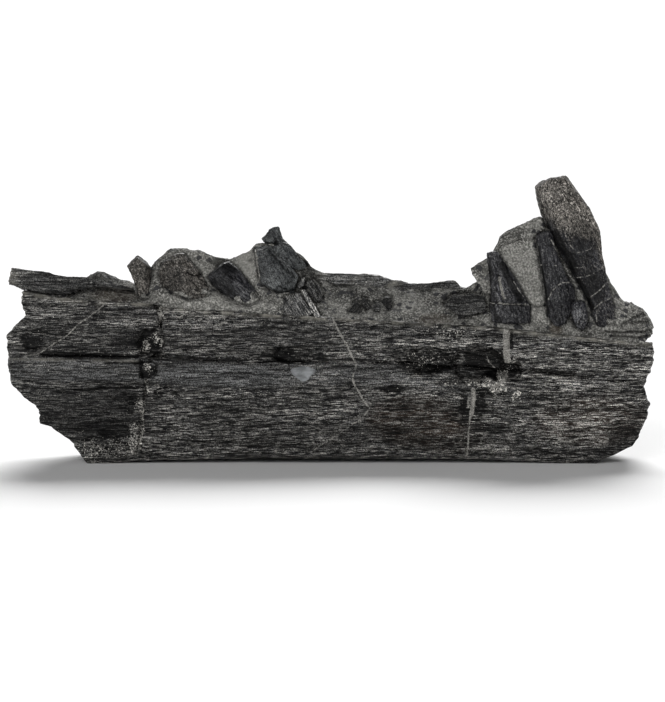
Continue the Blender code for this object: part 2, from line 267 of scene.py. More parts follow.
def noise(tree, perMetre, detail=2, shift=0, turn=0, warp=0):
    # Noise on Object coordinates, with one fineness for all axes or its own along x, y and z
    scale = perMetre if isinstance(perMetre, tuple) else (perMetre,) * 3
    place = put(tree, "TexCoord", {}, out="Object")
    if turn:
        place = put(tree, "Mapping", {"Vector": place, "Rotation": (0, math.radians(turn), 0)})
    if warp:
        swirl = put(tree, "TexNoise", {"Vector": place, "Scale": 60, "Detail": 2}, out="Color")
        swirl = put(tree, "VectorMath", {0: swirl, 1: (0.5, 0.5, 0.5)}, operation="SUBTRACT")
        swirl = put(tree, "VectorMath", {0: swirl, 1: (warp * mm,) * 3}, operation="MULTIPLY")
        place = put(tree, "VectorMath", {0: place, 1: swirl}, operation="ADD")
    place = put(tree, "Mapping", {"Vector": place, "Scale": scale, "Location": (shift, shift, shift)})
    return put(tree, "TexNoise", {"Vector": place, "Scale": 1, "Detail": detail, "Roughness": 0.55})


def calc(tree, operation, first, second):
    return put(tree, "Math", {0: first, 1: second}, operation=operation)


def times(tree, first, second):
    return calc(tree, "MULTIPLY", first, second)


def between(tree, value, low, high, toLow=0.0, toHigh=1.0):
    inputs = {"Value": value, "From Min": low, "From Max": high, "To Min": toLow, "To Max": toHigh}
    return put(tree, "MapRange", inputs, clamp=True, interpolation_type="SMOOTHSTEP")


def grain(tree, perMetre, low, high, toLow=0.0, toHigh=1.0, **more):
    # Noise whose levels from low to high are spread out from toLow to toHigh
    return between(tree, noise(tree, perMetre, **more), low, high, toLow, toHigh)


def mix(tree, amount, under, over, mode="MIX"):
    under = under if isinstance(under, bpy.types.NodeSocket) else (*under, 1)
    over = over if isinstance(over, bpy.types.NodeSocket) else (*over, 1)
    return put(tree, "Mix", {0: amount, 6: under, 7: over}, out=2, data_type="RGBA", blend_type=mode)


def tint(tree, colour, shade):
    return mix(tree, 1.0, colour, shade, mode="MULTIPLY")


def newPaint(name, specular):
    paint = bpy.data.materials.new(name)
    paint.use_nodes = True
    shader = paint.node_tree.nodes["Principled BSDF"]
    shader.inputs["Specular IOR Level"].default_value = specular
    return paint, paint.node_tree, shader


calcite = (0.330, 0.320, 0.295)


def finishPaint(tree, shader, colour, roughness, height, depth):
    # Every finish ends with its region tone, which also carries painted shade, its calcite veins and its fine
    # surface
    colour = tint(tree, colour, mask(tree, "tone"))
    wander = grain(tree, 600, 0.3, 0.7, -0.25, 0.17, detail=3, shift=2)
    gap = calc(tree, "ADD", mask(tree, "vein"), wander)
    vein = tint(tree, calcite, grain(tree, 1500, 0.3, 0.7, 0.3, 1.25, shift=21))
    colour = mix(tree, between(tree, gap, -0.12, 0.12, 0.9, 0.0), colour, vein)
    bump = put(tree, "Bump", {"Height": height, "Distance": depth * mm, "Strength": 1.0})
    for value, use in ((colour, "Base Color"), (roughness, "Roughness"), (bump, "Normal")):
        tree.links.new(value, shader.inputs[use])


boneLook = {
    "black": (0.005, 0.005, 0.006),
    "grey": (0.105, 0.104, 0.101),
    "ledge": (0.085, 0.086, 0.086),
    "fleck": (0.450, 0.436, 0.408),
    "brown": (0.060, 0.040, 0.027),
    "dust": (0.240, 0.230, 0.200),
    "bare": (0.205, 0.214, 0.220),
}


def makeBonePaint(name, turn=0):
    # Black fossil bone with pale mineral in its fibres, calcite veins, dust and a rust stain; painted glints,
    # painted shade in its hollows and between its fibres, and a painted highlight along the groove's lip
    look = boneLook
    paint, tree, shader = newPaint(name, 0.1)

    def fibre(perMetre, *levels, **more):
        return grain(tree, perMetre, *levels, turn=turn, warp=2, **more)

    colour = mix(tree, fibre((200, 450, 2200), 0.42, 0.60, shift=4), look["black"], look["grey"])
    onLedge = times(tree, mask(tree, "ledge"), fibre((500, 500, 1200), 0.3, 0.5, 0.6, 1.0))
    colour = mix(tree, onLedge, colour, look["ledge"])
    colour = mix(tree, times(tree, mask(tree, "brown"), 0.6), colour, look["brown"])
    where = fibre((50, 100, 200), 0.36, 0.60, 0.3, 1.0, shift=9)
    dashes = times(tree, fibre((150, 450, 2300), 0.555, 0.60, detail=1, shift=3), where)
    colour = mix(tree, times(tree, dashes, mask(tree, "fleck")), colour, look["fleck"])
    # Painted glints: small highlights painted in the calcite colour
    glints = fibre((300, 800, 2500), 0.59, 0.63, detail=1, shift=6)
    colour = mix(tree, times(tree, glints, mask(tree, "fleck")), colour, calcite)
    # Painted shade in the valleys between the fibres, light and dark bands, short black clefts, a fine grit,
    # and black in the hollows and undercuts, much of it painted shade
    uneven = fibre((260, 300, 1300), 0.3, 0.7, -0.45, 0.45, shift=13)
    shadeAndBlack = calc(tree, "ADD", mask(tree, "shadeAndBlack"), uneven)
    shades = [
        # Painted shade: darker in the valleys between the fibres and lighter on their ridges
        between(tree, mask(tree, "relief"), 0.05, 0.8, 0.65, 1.25),
        fibre((20, 50, 220), 0.35, 0.65, 0.65, 1.35, shift=6),
        fibre((45, 120, 900), 0.38, 0.46, 0.3, 1.0, shift=8),
        fibre((120, 300, 1900), 0.39, 0.46, 0.25, 1.0, detail=1, shift=11),
        fibre((1900, 1900, 2100), 0.3, 0.7, 0.3, 1.7, detail=0, shift=12),
        # Painted shade: black in the hollows and undercuts
        between(tree, shadeAndBlack, 0.35, 0.65, 1.0, 0.12),
    ]
    for shade in shades:
        colour = tint(tree, colour, shade)
    # Calcite crystals: the stronger the mask, the closer they stand
    grit = calc(tree, "ADD", noise(tree, 1400, detail=3, shift=5), times(tree, mask(tree, "speckle"), 0.2))
    sparkle = tint(tree, calcite, fibre(900, 0.35, 0.65, 0.4, 2.4, shift=15))
    colour = mix(tree, between(tree, grit, 0.68, 0.72), colour, sparkle)
    # Dust, and along the groove's lip a painted highlight in the dust colour
    dust = tint(tree, look["dust"], fibre((500, 500, 900), 0.3, 0.7, 0.4, 1.3, shift=16))
    colour = mix(tree, mask(tree, "dust"), colour, dust)
    bare = tint(tree, look["bare"], fibre(300, 0.3, 0.7, 0.7, 1.3, shift=17))
    colour = mix(tree, between(tree, mask(tree, "bare"), -0.2, 0.2, 0.9, 0.0), colour, bare)
    gloss = grain(tree, (300, 300, 900), 0.3, 0.7, 0.36, 0.7, shift=7, turn=turn)
    height = noise(tree, (180, 500, 2400), detail=3, shift=1, turn=turn, warp=2)
    finishPaint(tree, shader, colour, gloss, height, 0.35)
    return paint


rockLook = {
    "dark": (0.078, 0.077, 0.071),
    "middle": (0.228, 0.225, 0.208),
    "pale": (0.420, 0.412, 0.385),
    "stain": (0.120, 0.095, 0.070),
    "shard": (0.060, 0.060, 0.062),
    "shardsPerMetre": 430.0,
}


def makeRockPaint():
    # Grey limestone, grainy and mottled, with light and dark specks and angular dark shards of bone
    look = rockLook
    paint, tree, shader = newPaint("jawLimestone", 0.06)
    mottle = grain(tree, 90, 0.38, 0.58, detail=4, warp=4)
    mottle = calc(tree, "MAXIMUM", mottle, mask(tree, "pale"))
    colour = mix(tree, mottle, look["dark"], look["middle"])
    grit = noise(tree, 1100, detail=3, shift=2)
    plain = between(tree, mask(tree, "smooth"), 0.0, 1.0, 1.0, 0.35)
    light = between(tree, grit, 0.5, 0.62)
    dark = between(tree, grit, 0.38, 0.46, 0.8, 0.0)
    colour = mix(tree, times(tree, light, plain), colour, look["pale"])
    colour = mix(tree, times(tree, dark, plain), colour, look["dark"])
    place = put(tree, "TexCoord", {}, out="Object")
    cells = put(tree, "TexVoronoi", {"Vector": place, "Scale": look["shardsPerMetre"]}, out="Color")
    shards = between(tree, put(tree, "SeparateColor", {"Color": cells}), 0.88, 0.9)
    shards = times(tree, shards, between(tree, mask(tree, "pale"), 0.3, 0.8, 1.0, 0.15))
    colour = mix(tree, times(tree, shards, plain), colour, look["shard"])
    colour = mix(tree, mask(tree, "stain"), colour, look["stain"])
    gloss = grain(tree, 500, 0.3, 0.7, 0.6, 0.95, shift=7)
    finishPaint(tree, shader, colour, gloss, noise(tree, 900, detail=4, shift=1), 0.9)
    return paint


toothLooks = {
    "brown": {"dark": (0.033, 0.031, 0.028), "middle": (0.134, 0.123, 0.110), "pale": (0.340, 0.318, 0.290),
              "speck": 0.85, "gloss": (0.40, 0.70), "stripes": (1000, 900, 500)},
    "grey": {"dark": (0.036, 0.038, 0.040), "middle": (0.092, 0.097, 0.097), "pale": (0.220, 0.225, 0.215),
             "speck": 0.25, "gloss": (0.32, 0.55), "stripes": (1200, 700, 250)},
    "black": {"dark": (0.006, 0.006, 0.008), "middle": (0.050, 0.050, 0.053), "pale": (0.260, 0.260, 0.250),
              "speck": 0.40, "gloss": (0.30, 0.60), "stripes": (1200, 600, 220)},
}


def makeToothPaint(name, kind, turn):
    # Enamel and dentine with stripes along the tooth, specks, and a black root where the crown mask ends
    look, rootLook = toothLooks[kind], toothLooks["black"]
    paint, tree, shader = newPaint(name, 0.16)

    def enamel(perMetre, *levels, **more):
        return grain(tree, perMetre, *levels, turn=turn, **more)

    stripes = enamel(look["stripes"], 0.40, 0.56, shift=3, warp=1)
    amount = times(tree, stripes, enamel((130, 130, 90), 0.3, 0.6, 0.35, 1.0, shift=8))
    crown = mix(tree, amount, look["dark"], look["middle"])
    root = mix(tree, amount, rootLook["dark"], rootLook["middle"])
    colour = mix(tree, mask(tree, "crown"), root, crown)
    specks = enamel((1300, 1300, 900), 0.55, 0.60, 0.0, look["speck"], shift=5)
    specks = times(tree, specks, mask(tree, "fleck"))
    specks = times(tree, specks, enamel((160, 160, 120), 0.35, 0.6, 0.3, 1.0, shift=9))
    colour = mix(tree, specks, colour, look["pale"])
    colour = tint(tree, colour, enamel((2400, 2400, 1800), 0.3, 0.7, 0.4, 1.6, detail=0, shift=12))
    colour = tint(tree, colour, enamel((750, 750, 450), 0.38, 0.46, 0.3, 1.0, detail=4, shift=14))
    gloss = enamel((400, 400, 300), 0.3, 0.7, *look["gloss"], shift=7)
    height = noise(tree, (1100, 900, 500), detail=4, shift=1, turn=turn)
    finishPaint(tree, shader, colour, gloss, height, 0.35)
    return paint


# The outer jaw bone, with its groove, pits and breaks

jaw = {
    "cells": (400, 190, 8), "length": 320, "thick": 20, "ragged": (1.3, (30, 6, 5), 41, 0.485),
    "sway": (1.5, (45, 60, 16), 34),
    "fibres": [(crest, 0.3, (22, 9, 2.6), 35), (crest, 0.4, (9, 9, 1.4), 36), (bumps, 0.4, (5, 9, 1.0), 37)],
    "top": [(-154, 86), (-135, 83), (-110, 81), (-86, 80), (-82, 78), (-50, 76), (-23, 74.5), (35, 71),
            (80, 68.5), (105, 65.5), (135, 62.5), (160, 60)],
    "left": [(0, -122), (4, -124.5), (12.5, -131), (17.5, -138), (19, -140), (20.5, -145), (29.5, -146.5),
             (31.5, -150), (34, -154), (41.5, -160), (56.5, -161), (63.5, -162.5), (74, -152), (80, -154.5),
             (86, -154)],
    "right": [(0, 134), (6.5, 146), (9, 152), (19, 157.5), (29, 160), (38.5, 157.5), (50.5, 161.5),
              (60, 162)],
    # x, z of the groove's line, and how deep the groove is at each x
    "groove": [(-163, 55), (-92, 54), (-80, 53), (-40, 51.5), (0, 52), (35, 51), (60, 49), (100, 47),
               (135, 42.5), (160, 41.5)],
    "grooveDepth": [(-160, 0.5), (-145, 4.5), (-110, 5), (-88, 2), (-45, 4), (-25, 5), (10, 2.5), (30, 4),
                    (60, 6), (85, 7), (95, 4), (130, 2.5), (160, 1.5)],
    # y of the lowest and foremost line, the groove's lip, the top edge and the foot, and the ledge's height
    "front": -26, "lip": -22.5, "edge": -20, "foot": -20, "ledge": 15,
    "bulge": 0.9,  # of the side above the groove
    "endsBack": 3,  # how far the side falls back at both ends
    "footArch": (2.5, 115),  # how far the front of the foot rises in its middle, and over which half length
    "back": [(24.3, 7.7), (25, -9)],  # y at the floor of the trough and at the wall above it
    # x, z, half length, half height, depth
    "pits": [(-88.8, 61.5, 8, 8.5, 5), (-91.3, 47.4, 5, 6, 4), (74, 50, 15, 9, 6.5), (91, 46.5, 5, 5, 4),
             (-18, 55, 11, 5, 3), (-148, 62, 10, 5, 2), (46, 52, 16, 7, 3), (32, 38, 9, 2, 1.5),
             (-97, 30, 4, 6, 1.5), (-81, 36, 9, 3.5, 1)],
    # Half width, depth and the x, z of each crack
    "cracks": [
        (1.6, 2.2, [(-87, 80.5), (-85, 77), (-84.4, 72), (-84, 68)]),
        (0.9, 2.0, [(-84.4, 72), (-83, 65), (-82.5, 60), (-85, 55.5), (-89, 53.5)]),
        (0.9, 2.0, [(-89, 42), (-91.3, 41.5), (-91.6, 36), (-92.5, 33), (-93.5, 28), (-94, 22), (-95, 14),
                    (-97, 4)]),
        (0.8, 1.5, [(90.2, 70), (90, 64), (89.8, 58)]),
        (0.6, 1.0, [(-127, 37.5), (-120, 37.2), (-112, 38.6), (-104, 39.4), (-93, 39)]),
        (0.5, 0.8, [(-110, 50.6), (-102, 50.8), (-93, 50.6)]),
        (0.6, 0.9, [(-85, 37), (-75, 36), (-62, 36.5), (-50, 35.5)]),
        (0.5, 0.9, [(-158, 44), (-150, 42.5), (-141, 43.5)]),
        (0.4, 0.7, [(-75, 65.5), (-55, 66.5), (-40, 65.8)]),
        (0.5, 0.8, [(95, 56.5), (110, 55), (125, 54.5)]),
        (0.5, 0.8, [(100, 37), (120, 35), (140, 34.2)]),
    ],
    # Places where the bone is darker or lighter than elsewhere: x, z, half length, half height, amount
    "tone": [(-118, 62, 40, 8, -0.35), (-115, 26, 36, 18, -0.4), (-118, 75, 36, 6, 0.3),
             (-30, 60, 50, 7, -0.25), (120, 58, 45, 9, 0.55), (115, 30, 35, 16, 0.25), (-40, 72, 55, 5, 0.35),
             (48, 38, 14, 4.5, 0.5), (0, 12, 60, 12, -0.2), (-80, 20, 14, 16, 0.15), (110, 40, 40, 5, 0.25),
             (148, 16, 12, 14, -0.4), (-142, 48, 14, 5, 0.1), (20, 44, 42, 8, 0.45), (-50, 44, 32, 7, 0.6),
             (42, 22, 26, 14, -0.4)],
    # Where pale dashes are fewer or more
    "fleck": [(-120, 26, 40, 22, -0.5), (120, 35, 45, 30, 0.3), (-118, 62, 40, 8, -0.4),
              (-118, 74, 42, 8, -0.3), (-50, 44, 45, 8, -0.3), (-40, 60, 60, 8, -0.2), (70, 67, 80, 5, -0.4),
              (-30, 67, 55, 8, -0.25), (15, 46, 24, 6, -0.3), (120, 61, 45, 3, -0.5)],
    # Where the bone is black, as painted shade in hollows and undercuts and in places as black bone, and the
    # same as lines: half width, then x, z
    "shadeAndBlack": [(-89, 60.5, 7, 8.5, 1.2), (-91, 47.5, 5, 6, 1.1), (79, 50, 13, 8.5, 1.7),
               (91, 47.5, 6, 5, 0.9), (62, 51, 27, 9, 0.4), (42, 52.5, 9, 4, 0.25), (-112, 9, 18, 8, 0.45),
               (-18, 54.5, 19, 5.5, 0.55), (-149, 61, 7, 4.5, 0.8), (-137, 66, 12, 5, 0.3),
               (46, 51, 19, 8, 0.5), (32, 37.8, 9, 1.6, 0.9),
               (-81, 36.5, 8, 3, 0.55), (67, 25, 12, 6, 0.6), (-32, 52.5, 20, 3, 0.45), (-99, 31, 4, 6, 0.5),
               (148, 14, 12, 14, 0.3), (-112, 20, 14, 8, 0.35), (66, 32, 2.5, 7, 0.8), (75.5, 31, 3, 7, 0.8),
               (10, 40, 7, 3, 0.4), (105, 46.5, 16, 2.5, 0.4), (-142, 20, 8, 8, 0.3)],
    "shadeAndBlackLines": [(1.6, [(-143, 55), (-128, 54.8)]), (1.2, [(-130, 54.8), (-110, 54.3), (-96, 54)]),
                    (0.6, [(-112, 50.6), (-94, 50.7)]), (0.6, [(-127, 37.2), (-112, 38.4), (-93, 38.8)]),
                    (0.9, [(-82, 54), (-60, 52.8), (-45, 52)]), (0.6, [(-8, 52.6), (15, 52.4), (30, 51.6)]),
                    (0.8, [(90.6, 69), (90.4, 58)]), (0.6, [(100, 48), (112, 46.6), (122, 45.2)]),
                    (0.2, [(130, 44.3), (145, 43)]), (1.2, [(-87, 80.2), (-84.5, 76), (-84.4, 70)]),
                    (0.5, [(-91.4, 43), (-92, 35)]), (0.4, [(-92.4, 26), (-93.5, 16), (-94.5, 6)])],
    # Where fine calcite crystals stand
    "speckle": [(-112, 8, 18, 7, 0.5), (-91.5, 58.5, 2.6, 3.5, 1.2), (-87.5, 62.5, 2.6, 3.5, 1.1),
                (-84.2, 61, 1.3, 6, 0.9), (-91, 48, 2.6, 3.5, 1.1), (-84.5, 74.8, 1.8, 4, 2.4),
                (-94.2, 29, 3.2, 5, 1.4), (-97, 13, 4.5, 10, 1.1), (-93.6, 20, 1.5, 6, 1.2),
                (76, 41, 11, 2.4, 1.0), (84, 37.8, 6, 3.2, 1.2), (92.5, 34.5, 3.5, 3, 1.2),
                (86, 43.5, 3.5, 4, 1.0), (46, 52, 14, 6, 0.35), (60, 42, 7, 4, 0.4), (90, 50, 4, 6, 0.5),
                (-91.6, 38.5, 1.4, 5, 1.3), (-60, 71, 20, 3, 0.2), (60, 66, 15, 7, 0.45)],
    "brown": [(42, 22, 26, 14, 1.0), (60, 14, 20, 12, 0.4), (130, 22, 32, 14, 0.6)],
    "brokenCorner": [(130, 0), (141, 10), (150, 20), (160, 30)],
    # The bare patch, wide above and pointed below: x, z, half width, height above z and height below it
    "bare": (-13.6, 47, 6.1, 1.9, 5.6),
    # Calcite veins: half width, then their x, z
    "veins": [
        (0.28, [(-111.5, 81), (-115, 77.5), (-119, 74.5), (-125, 70.5), (-131.5, 64), (-137.5, 60.5),
                (-142.5, 57), (-146, 55), (-151.5, 54)]),
        (0.2, [(-144.5, 56), (-148.5, 50), (-152.5, 48.5)]),
        (0.38, [(1.5, 72.5), (4, 67.5), (6.5, 63), (9, 58.5), (11, 54), (13, 50), (12.5, 46.5), (11, 43.5),
                (12.5, 39.5), (15, 35.5), (17, 32), (19, 29.5)]),
        (0.22, [(20, 28.5), (16, 23.5), (10, 19.5), (2.5, 14), (-4, 10), (-9.5, 6)]),
        (0.42, [(70, 25.5), (69, 14), (68.5, 4)]),
        (1.0, [(71.3, 37.5), (71.5, 33), (70.4, 25.5)]), (0.4, [(69, 34), (68.5, 29)]),
        (1.6, [(88, 66.5), (87.8, 60), (88.2, 52)]),
        (0.12, [(111.5, 34), (113, 26.5), (115, 19), (116.5, 15.5)]),
        (0.25, [(78.5, 53.5), (79.5, 50.5), (82.5, 47.5)]), (0.7, [(80.5, 38), (85, 40.5), (88, 43.5)]),
        (0.3, [(-82.5, 75.6), (-79, 76.4), (-71.5, 76.3)]), (0.4, [(-85, 77.5), (-84.4, 75), (-84.7, 72.5)]),
    ],
}


def jawFront(places, x, z):
    # How far forward the outer side is at each x, z, with its fibres and where its smooth ledge is
    line, depth = along(jaw["groove"], x), along(jaw["grooveDepth"], x)
    line = line + 0.8 * bumps(places, (14, 40, 40), 31)
    # Above the groove the side bulges a little and falls back to the top edge
    top = along(jaw["top"], x)
    rise = (z - line) / (top - line)
    upper = jaw["lip"] - jaw["bulge"] * (1 - ((rise - 0.5) / 0.5) ** 2)
    upper = upper + (jaw["edge"] - jaw["lip"]) * soft(rise, 0.6, 1.05)
    # Below it the ledge swells forward, and the side falls back to the foot
    fall = np.clip((line - z) / jaw["ledge"], 0, 1)
    ledge = jaw["lip"] + depth + (jaw["front"] - jaw["lip"] - depth) * fall ** 0.8
    low = np.clip(1 - z / (line - jaw["ledge"]), 0, 1)
    y = np.where(rise >= 0, upper, ledge) + (jaw["foot"] - jaw["front"]) * low ** 2.2
    onLedge = soft(line - z, 0.3, 2) * (1 - soft(line - z, jaw["ledge"] - 4, jaw["ledge"] - 1))
    onLedge = onLedge * (0.9 - 0.35 * soft(x, -60, 0) - 0.5 * soft(x, 55, 95))
    wobble = 1 + 0.5 * bumps(places, 7, 33) + 0.3 * bumps(places, 2.5, 39)
    for pitX, pitZ, halfLong, halfHigh, pitDepth in jaw["pits"]:
        away = (((x - pitX) / halfLong) ** 2 + ((z - pitZ) / halfHigh) ** 2) * wobble
        y = y + pitDepth * soft(1 - away, 0, 0.6)
    y = cutCracks(y, x + 0.8 * bumps(places, 4, 44), z + 0.4 * bumps(places, 5, 45), jaw["cracks"])
    y = y + jaw["endsBack"] * soft(np.abs(x), 130, 162) ** 1.5
    fibres = makeFibres(jaw, places, x, z)
    y = y - 0.5 * fibres * (1 - 0.8 * onLedge) - 0.5 * rough(places, (18, 9, 9), 38)
    return y, fibres, onLedge


def makeJawBone(paint):
    mesh, places, x, z, deep, rise = layWall("jawBone", jaw, hidden=1)
    front, fibres, onLedge = jawFront(places, x, z)
    swayX, swayZ = 2 * rough(places, 5, 48), 1.6 * rough(places, 4, 51)  # for uneven patches
    speckle = patches(x + 0.4 * swayX, z + swayZ, jaw["speckle"])
    speckle = np.clip(speckle * (1 + 0.8 * rough(places, 3, 49)), 0, 1)
    front = front - 0.7 * speckle * rough(places, 1.6, 46, 2)
    y = front * (1 - deep) + along(jaw["back"], z) * deep
    # The top edge is rough, and the front of the foot rises in the middle
    z = z + np.where(rise > 0.999, 0.7 * rough(places, (9, 4, 9), 42), 0)
    archHigh, archHalf = jaw["footArch"]
    z = z + archHigh * np.clip(1 - (x / archHalf) ** 4, 0, 1) * (1 - deep) * soft(-rise, -0.08, 0)
    broken = soft(6 - nearLine(x, z, jaw["brokenCorner"]), 0, 6) * (x > 120)
    fleck = 0.8 * (1 - 0.8 * onLedge) * (1 - 0.8 * broken)
    # Painted shade in the hollows, undercuts, groove and cracks, with black bone in places
    shadeAndBlack = patches(x + swayX, z + swayZ, jaw["shadeAndBlack"]) * (1 + 0.6 * rough(places, (9, 9, 4), 48))
    shadeAndBlack = shadeAndBlack + 1 - soft(nearLines(x, z, jaw["shadeAndBlackLines"]), -0.5, 0.5)
    # Painted highlight: a pale line along the lip below the groove, where light from above falls
    lip = 1 - soft(np.abs(z - along(jaw["groove"], x) + 2.6), 0.3, 1.0)
    topDust = 0.7 * soft(z - along(jaw["top"], x), -2.5, 0) * soft(bumps(places, 5, 43), -0.4, 0.5)
    lipHighlight = 0.45 * lip * soft(-x, 94, 98) * soft(bumps(places, 9, 47), -0.6, 0.2)
    bareX, bareZ, halfWide, above, below = jaw["bare"]
    wide = np.abs((x - bareX) / halfWide) ** 1.4
    high = np.where(z < bareZ, (bareZ - z) / below, (z - bareZ) / above) ** 1.4
    masks = {
        # Relief: lighter on the fibres' ridges, with painted shade in the valleys between them
        "relief": np.clip(fibres, 0, 1) * (1 - 0.6 * onLedge) + 0.5 * onLedge,
        "ledge": onLedge * 0.85,
        "fleck": np.clip(fleck + patches(x, z, jaw["fleck"]), 0, 1),
        "shadeAndBlack": np.clip(shadeAndBlack, 0, 1),
        "tone": np.clip(1 + patches(x, z, jaw["tone"]), 0.2, 1.6),
        "brown": np.clip(patches(x, z, jaw["brown"]), 0, 1),
        "speckle": speckle,
        "dust": np.clip(topDust + lipHighlight, 0, 1),
        "vein": nearLines(x, z, jaw["veins"]),
        "bare": 3 * (wide + high - 1 + 0.2 * bumps(places, 3, 50)),
    }
    finishPiece("jawBone", mesh, join(x, y, z), paint, ["jaw_bone"], masks)


# The inner jaw bone, whose top edge shows behind the teeth

innerJaw = {
    "cells": (240, 110, 10), "length": 300, "thick": 16, "ragged": (1.4, (30, 6, 5), 51, 0.485),
    "sway": (2, (50, 60, 20), 52),
    "fibres": [(crest, 0.45, (30, 9, 3.0), 53), (crest, 0.4, (12, 9, 1.5), 54), (bumps, 0.3, (7, 9, 1), 55)],
    "front": 8,
    "top": [(-150, 76), (-100, 84), (-60, 90), (-14, 99), (-6, 94.5), (0, 93.5), (25, 92.5), (39, 88.5),
            (50, 88.5), (63, 90), (66, 87), (76, 84), (110, 78), (155, 60)],
    "left": [(0, -116), (20, -136), (42, -153), (60, -156), (85, -150)],
    "right": [(0, 128), (10, 146), (30, 155), (62, 155), (100, 150)],
    "back": [(0, 20), (10, 24), (35, 26), (60, 25), (80, 20), (100, 15)],
    "cracks": [(1.0, 1.6, [(-60, 92), (-57, 70), (-62, 45), (-55, 20), (-58, 0)]),
               (0.9, 1.4, [(39.5, 90), (40.5, 85), (38, 60), (44, 30), (40, 0)]),
               (0.8, 1.2, [(100, 80), (96, 60), (103, 40), (98, 10)])],
}


def makeInnerJawBone(paint):
    mesh, places, x, z, deep, rise = layWall("innerJawBone", innerJaw, hidden=0)
    fibres = makeFibres(innerJaw, places, x, z)
    back = along(innerJaw["back"], z) + 0.6 * fibres + rough(places, (34, 20, 12), 56) - 1.2
    back = cutCracks(back, x + 1.2 * bumps(places, 5, 57), z, innerJaw["cracks"], share=-1)
    y = innerJaw["front"] * (1 - deep) + back * deep
    edge = soft(rise, 0.94, 1)
    z = z + edge * (1.3 * rough(places, (11, 5, 11), 58) - 0.6 - 1.5 * deep)
    y = y + edge * 0.8 * rough(places, (5, 5, 3), 59) * (1 - deep)
    masks = {
        "relief": np.clip(fibres, 0, 1),
        "fleck": 0.2 + 0.5 * deep,
        "ledge": 0.6 * (1 - deep),
        "tone": np.clip(2.4 - 1.6 * deep + 0.25 * rough(places, (30, 9, 14), 60), 0.5, 2.8),
        "dust": 0.3 * edge * soft(bumps(places, 6, 61), 0, 0.6),
        "vein": nearLines(x, z, [(0.25, innerJaw["cracks"][1][2])]),
    }
    finishPiece("innerJawBone", mesh, join(x, y, z), paint, ["inner_jaw_bone"], masks)


# The limestone in the trough, round the teeth

rock = {
    "cells": (280, 84, 22), "length": 315, "thick": 20, "ragged": (1.2, 6, 71, 0.49),
    "sunk": 0.16,  # share of the rows that are inside the trough
    "top": [(-152, 87), (-125, 90), (-117, 95), (-105, 90), (-98, 88.5), (-90, 96.5), (-86, 101.5),
            (-81, 105.5), (-72, 106), (-63.5, 104.5), (-60, 102.5), (-50, 100.5), (-45, 103), (-41, 104.5),
            (-37.5, 108.5), (-34, 109.5), (-20, 107), (-12, 100.5), (-6, 91), (0, 88.5), (35, 85.5),
            (69, 85.5), (75, 90), (80, 102), (84, 108), (85, 111.5), (89, 115), (97, 119), (105, 122.5),
            (112, 119), (135, 100), (143.5, 85), (147.5, 80), (157.5, 76), (163, 69)],
    "left": [(25, -142), (34, -150), (41, -152)],
    "right": [(25, 152), (60, 157), (64, 162), (69, 163)],
    "front": -19, "back": 7.7, "bottom": 25.3, "inTrough": -8.7,
    # How deep the dome's face, the gap round a tooth and the cracks are, and how high the lip of rock is
    "faceDeep": 2.6, "gapDeep": 1.3, "crackDeep": 1.2, "lipHigh": 0.8,
    # How far the face leans back at each x, and on the dome the share of that at each height
    "lean": [(-25, 17), (-8, 22), (60, 22), (82, 17)],
    "domeLean": [(0, 0), (0.12, 0.3), (0.75, 0.5), (1, 0.7)],
    # Edge of the dome's sunken face, below its rim
    "rim": [(76, 106), (84.3, 107.6), (88.6, 109.7), (95, 111.5), (100.7, 112.2), (105, 115), (109, 119),
            (150, 150)],
    # Smooth broken faces: x, z, half length, half height, amount
    "smooth": [(-42, 99, 6.5, 9, 1), (-56, 100, 5, 2.5, 0.8), (95, 90, 16, 20, 0.4)],
    "pale": [(-42, 99, 6.5, 9, 0.9), (-62, 92, 4, 12, 0.7), (96, 94, 14, 17, 0.8), (-50, 80, 45, 4, 0.8),
             (104, 74, 5, 8, 0.6), (20, 75, 45, 3, 0.5), (150, 82, 12, 12, 0.35), (145, 68, 20, 5, 0.6)],
    "stain": [(-107, 84, 14, 4, 0.35), (52, 72, 10, 3, 0.35), (113, 67, 4, 3, 0.5)],
    "tone": [(-56, 100, 5, 3, -0.55), (90, 114, 9, 5, -0.3), (103, 117, 6, 4, -0.3), (66, 80, 12, 6, -0.45),
             (-8, 93, 8, 8, -0.35), (-13, 98, 7, 7, -0.3), (18, 77, 45, 6, 0.2), (-116, 93, 16, 6, -0.5),
             (-30, 82, 7, 4, -0.2), (145, 92, 6, 14, -0.15), (-42, 98, 7, 9, 0.3), (-50, 79, 46, 4, 0.15),
             (148, 76, 14, 10, 0.2), (5.5, 88, 6.5, 2, -0.75), (11, 84, 3.5, 4, -0.4),
             (47, 85.5, 6, 2, -0.65), (24, 84.5, 5, 1.2, -0.4), (-39.6, 100.6, 1.8, 1.2, -0.8)],
    # Lines of dark cracks and layers, and calcite veins: half width, then x, z
    "cracks": [(0.5, [(146, 68.5), (151, 71.5), (157.5, 73.8)]), (0.4, [(151, 69.8), (160, 70.2)]),
               (0.4, [(138, 66), (150, 65.5), (161, 66)]), (0.3, [(140, 64), (155, 63), (161, 63.5)]),
               (0.4, [(-52, 88), (-49, 83)]), (0.35, [(100, 79), (104, 78), (108, 78.5)])],
    "veins": [(0.35, [(-39.2, 107.2), (-38.2, 100), (-36.8, 91)]), (0.15, [(92, 80), (108, 78.5)]),
              (0.1, [(84, 107.2), (91, 110.3), (97, 111.8)]), (0.3, [(46.2, 78), (49.5, 82.3)]),
              (0.2, [(43, 80), (44, 75.5), (48, 74)])],
}


def aboveTrough(rise):
    # Share of the height above the trough, 0 inside it
    return np.clip((rise - rock["sunk"]) / (1 - rock["sunk"]), 0, 1)


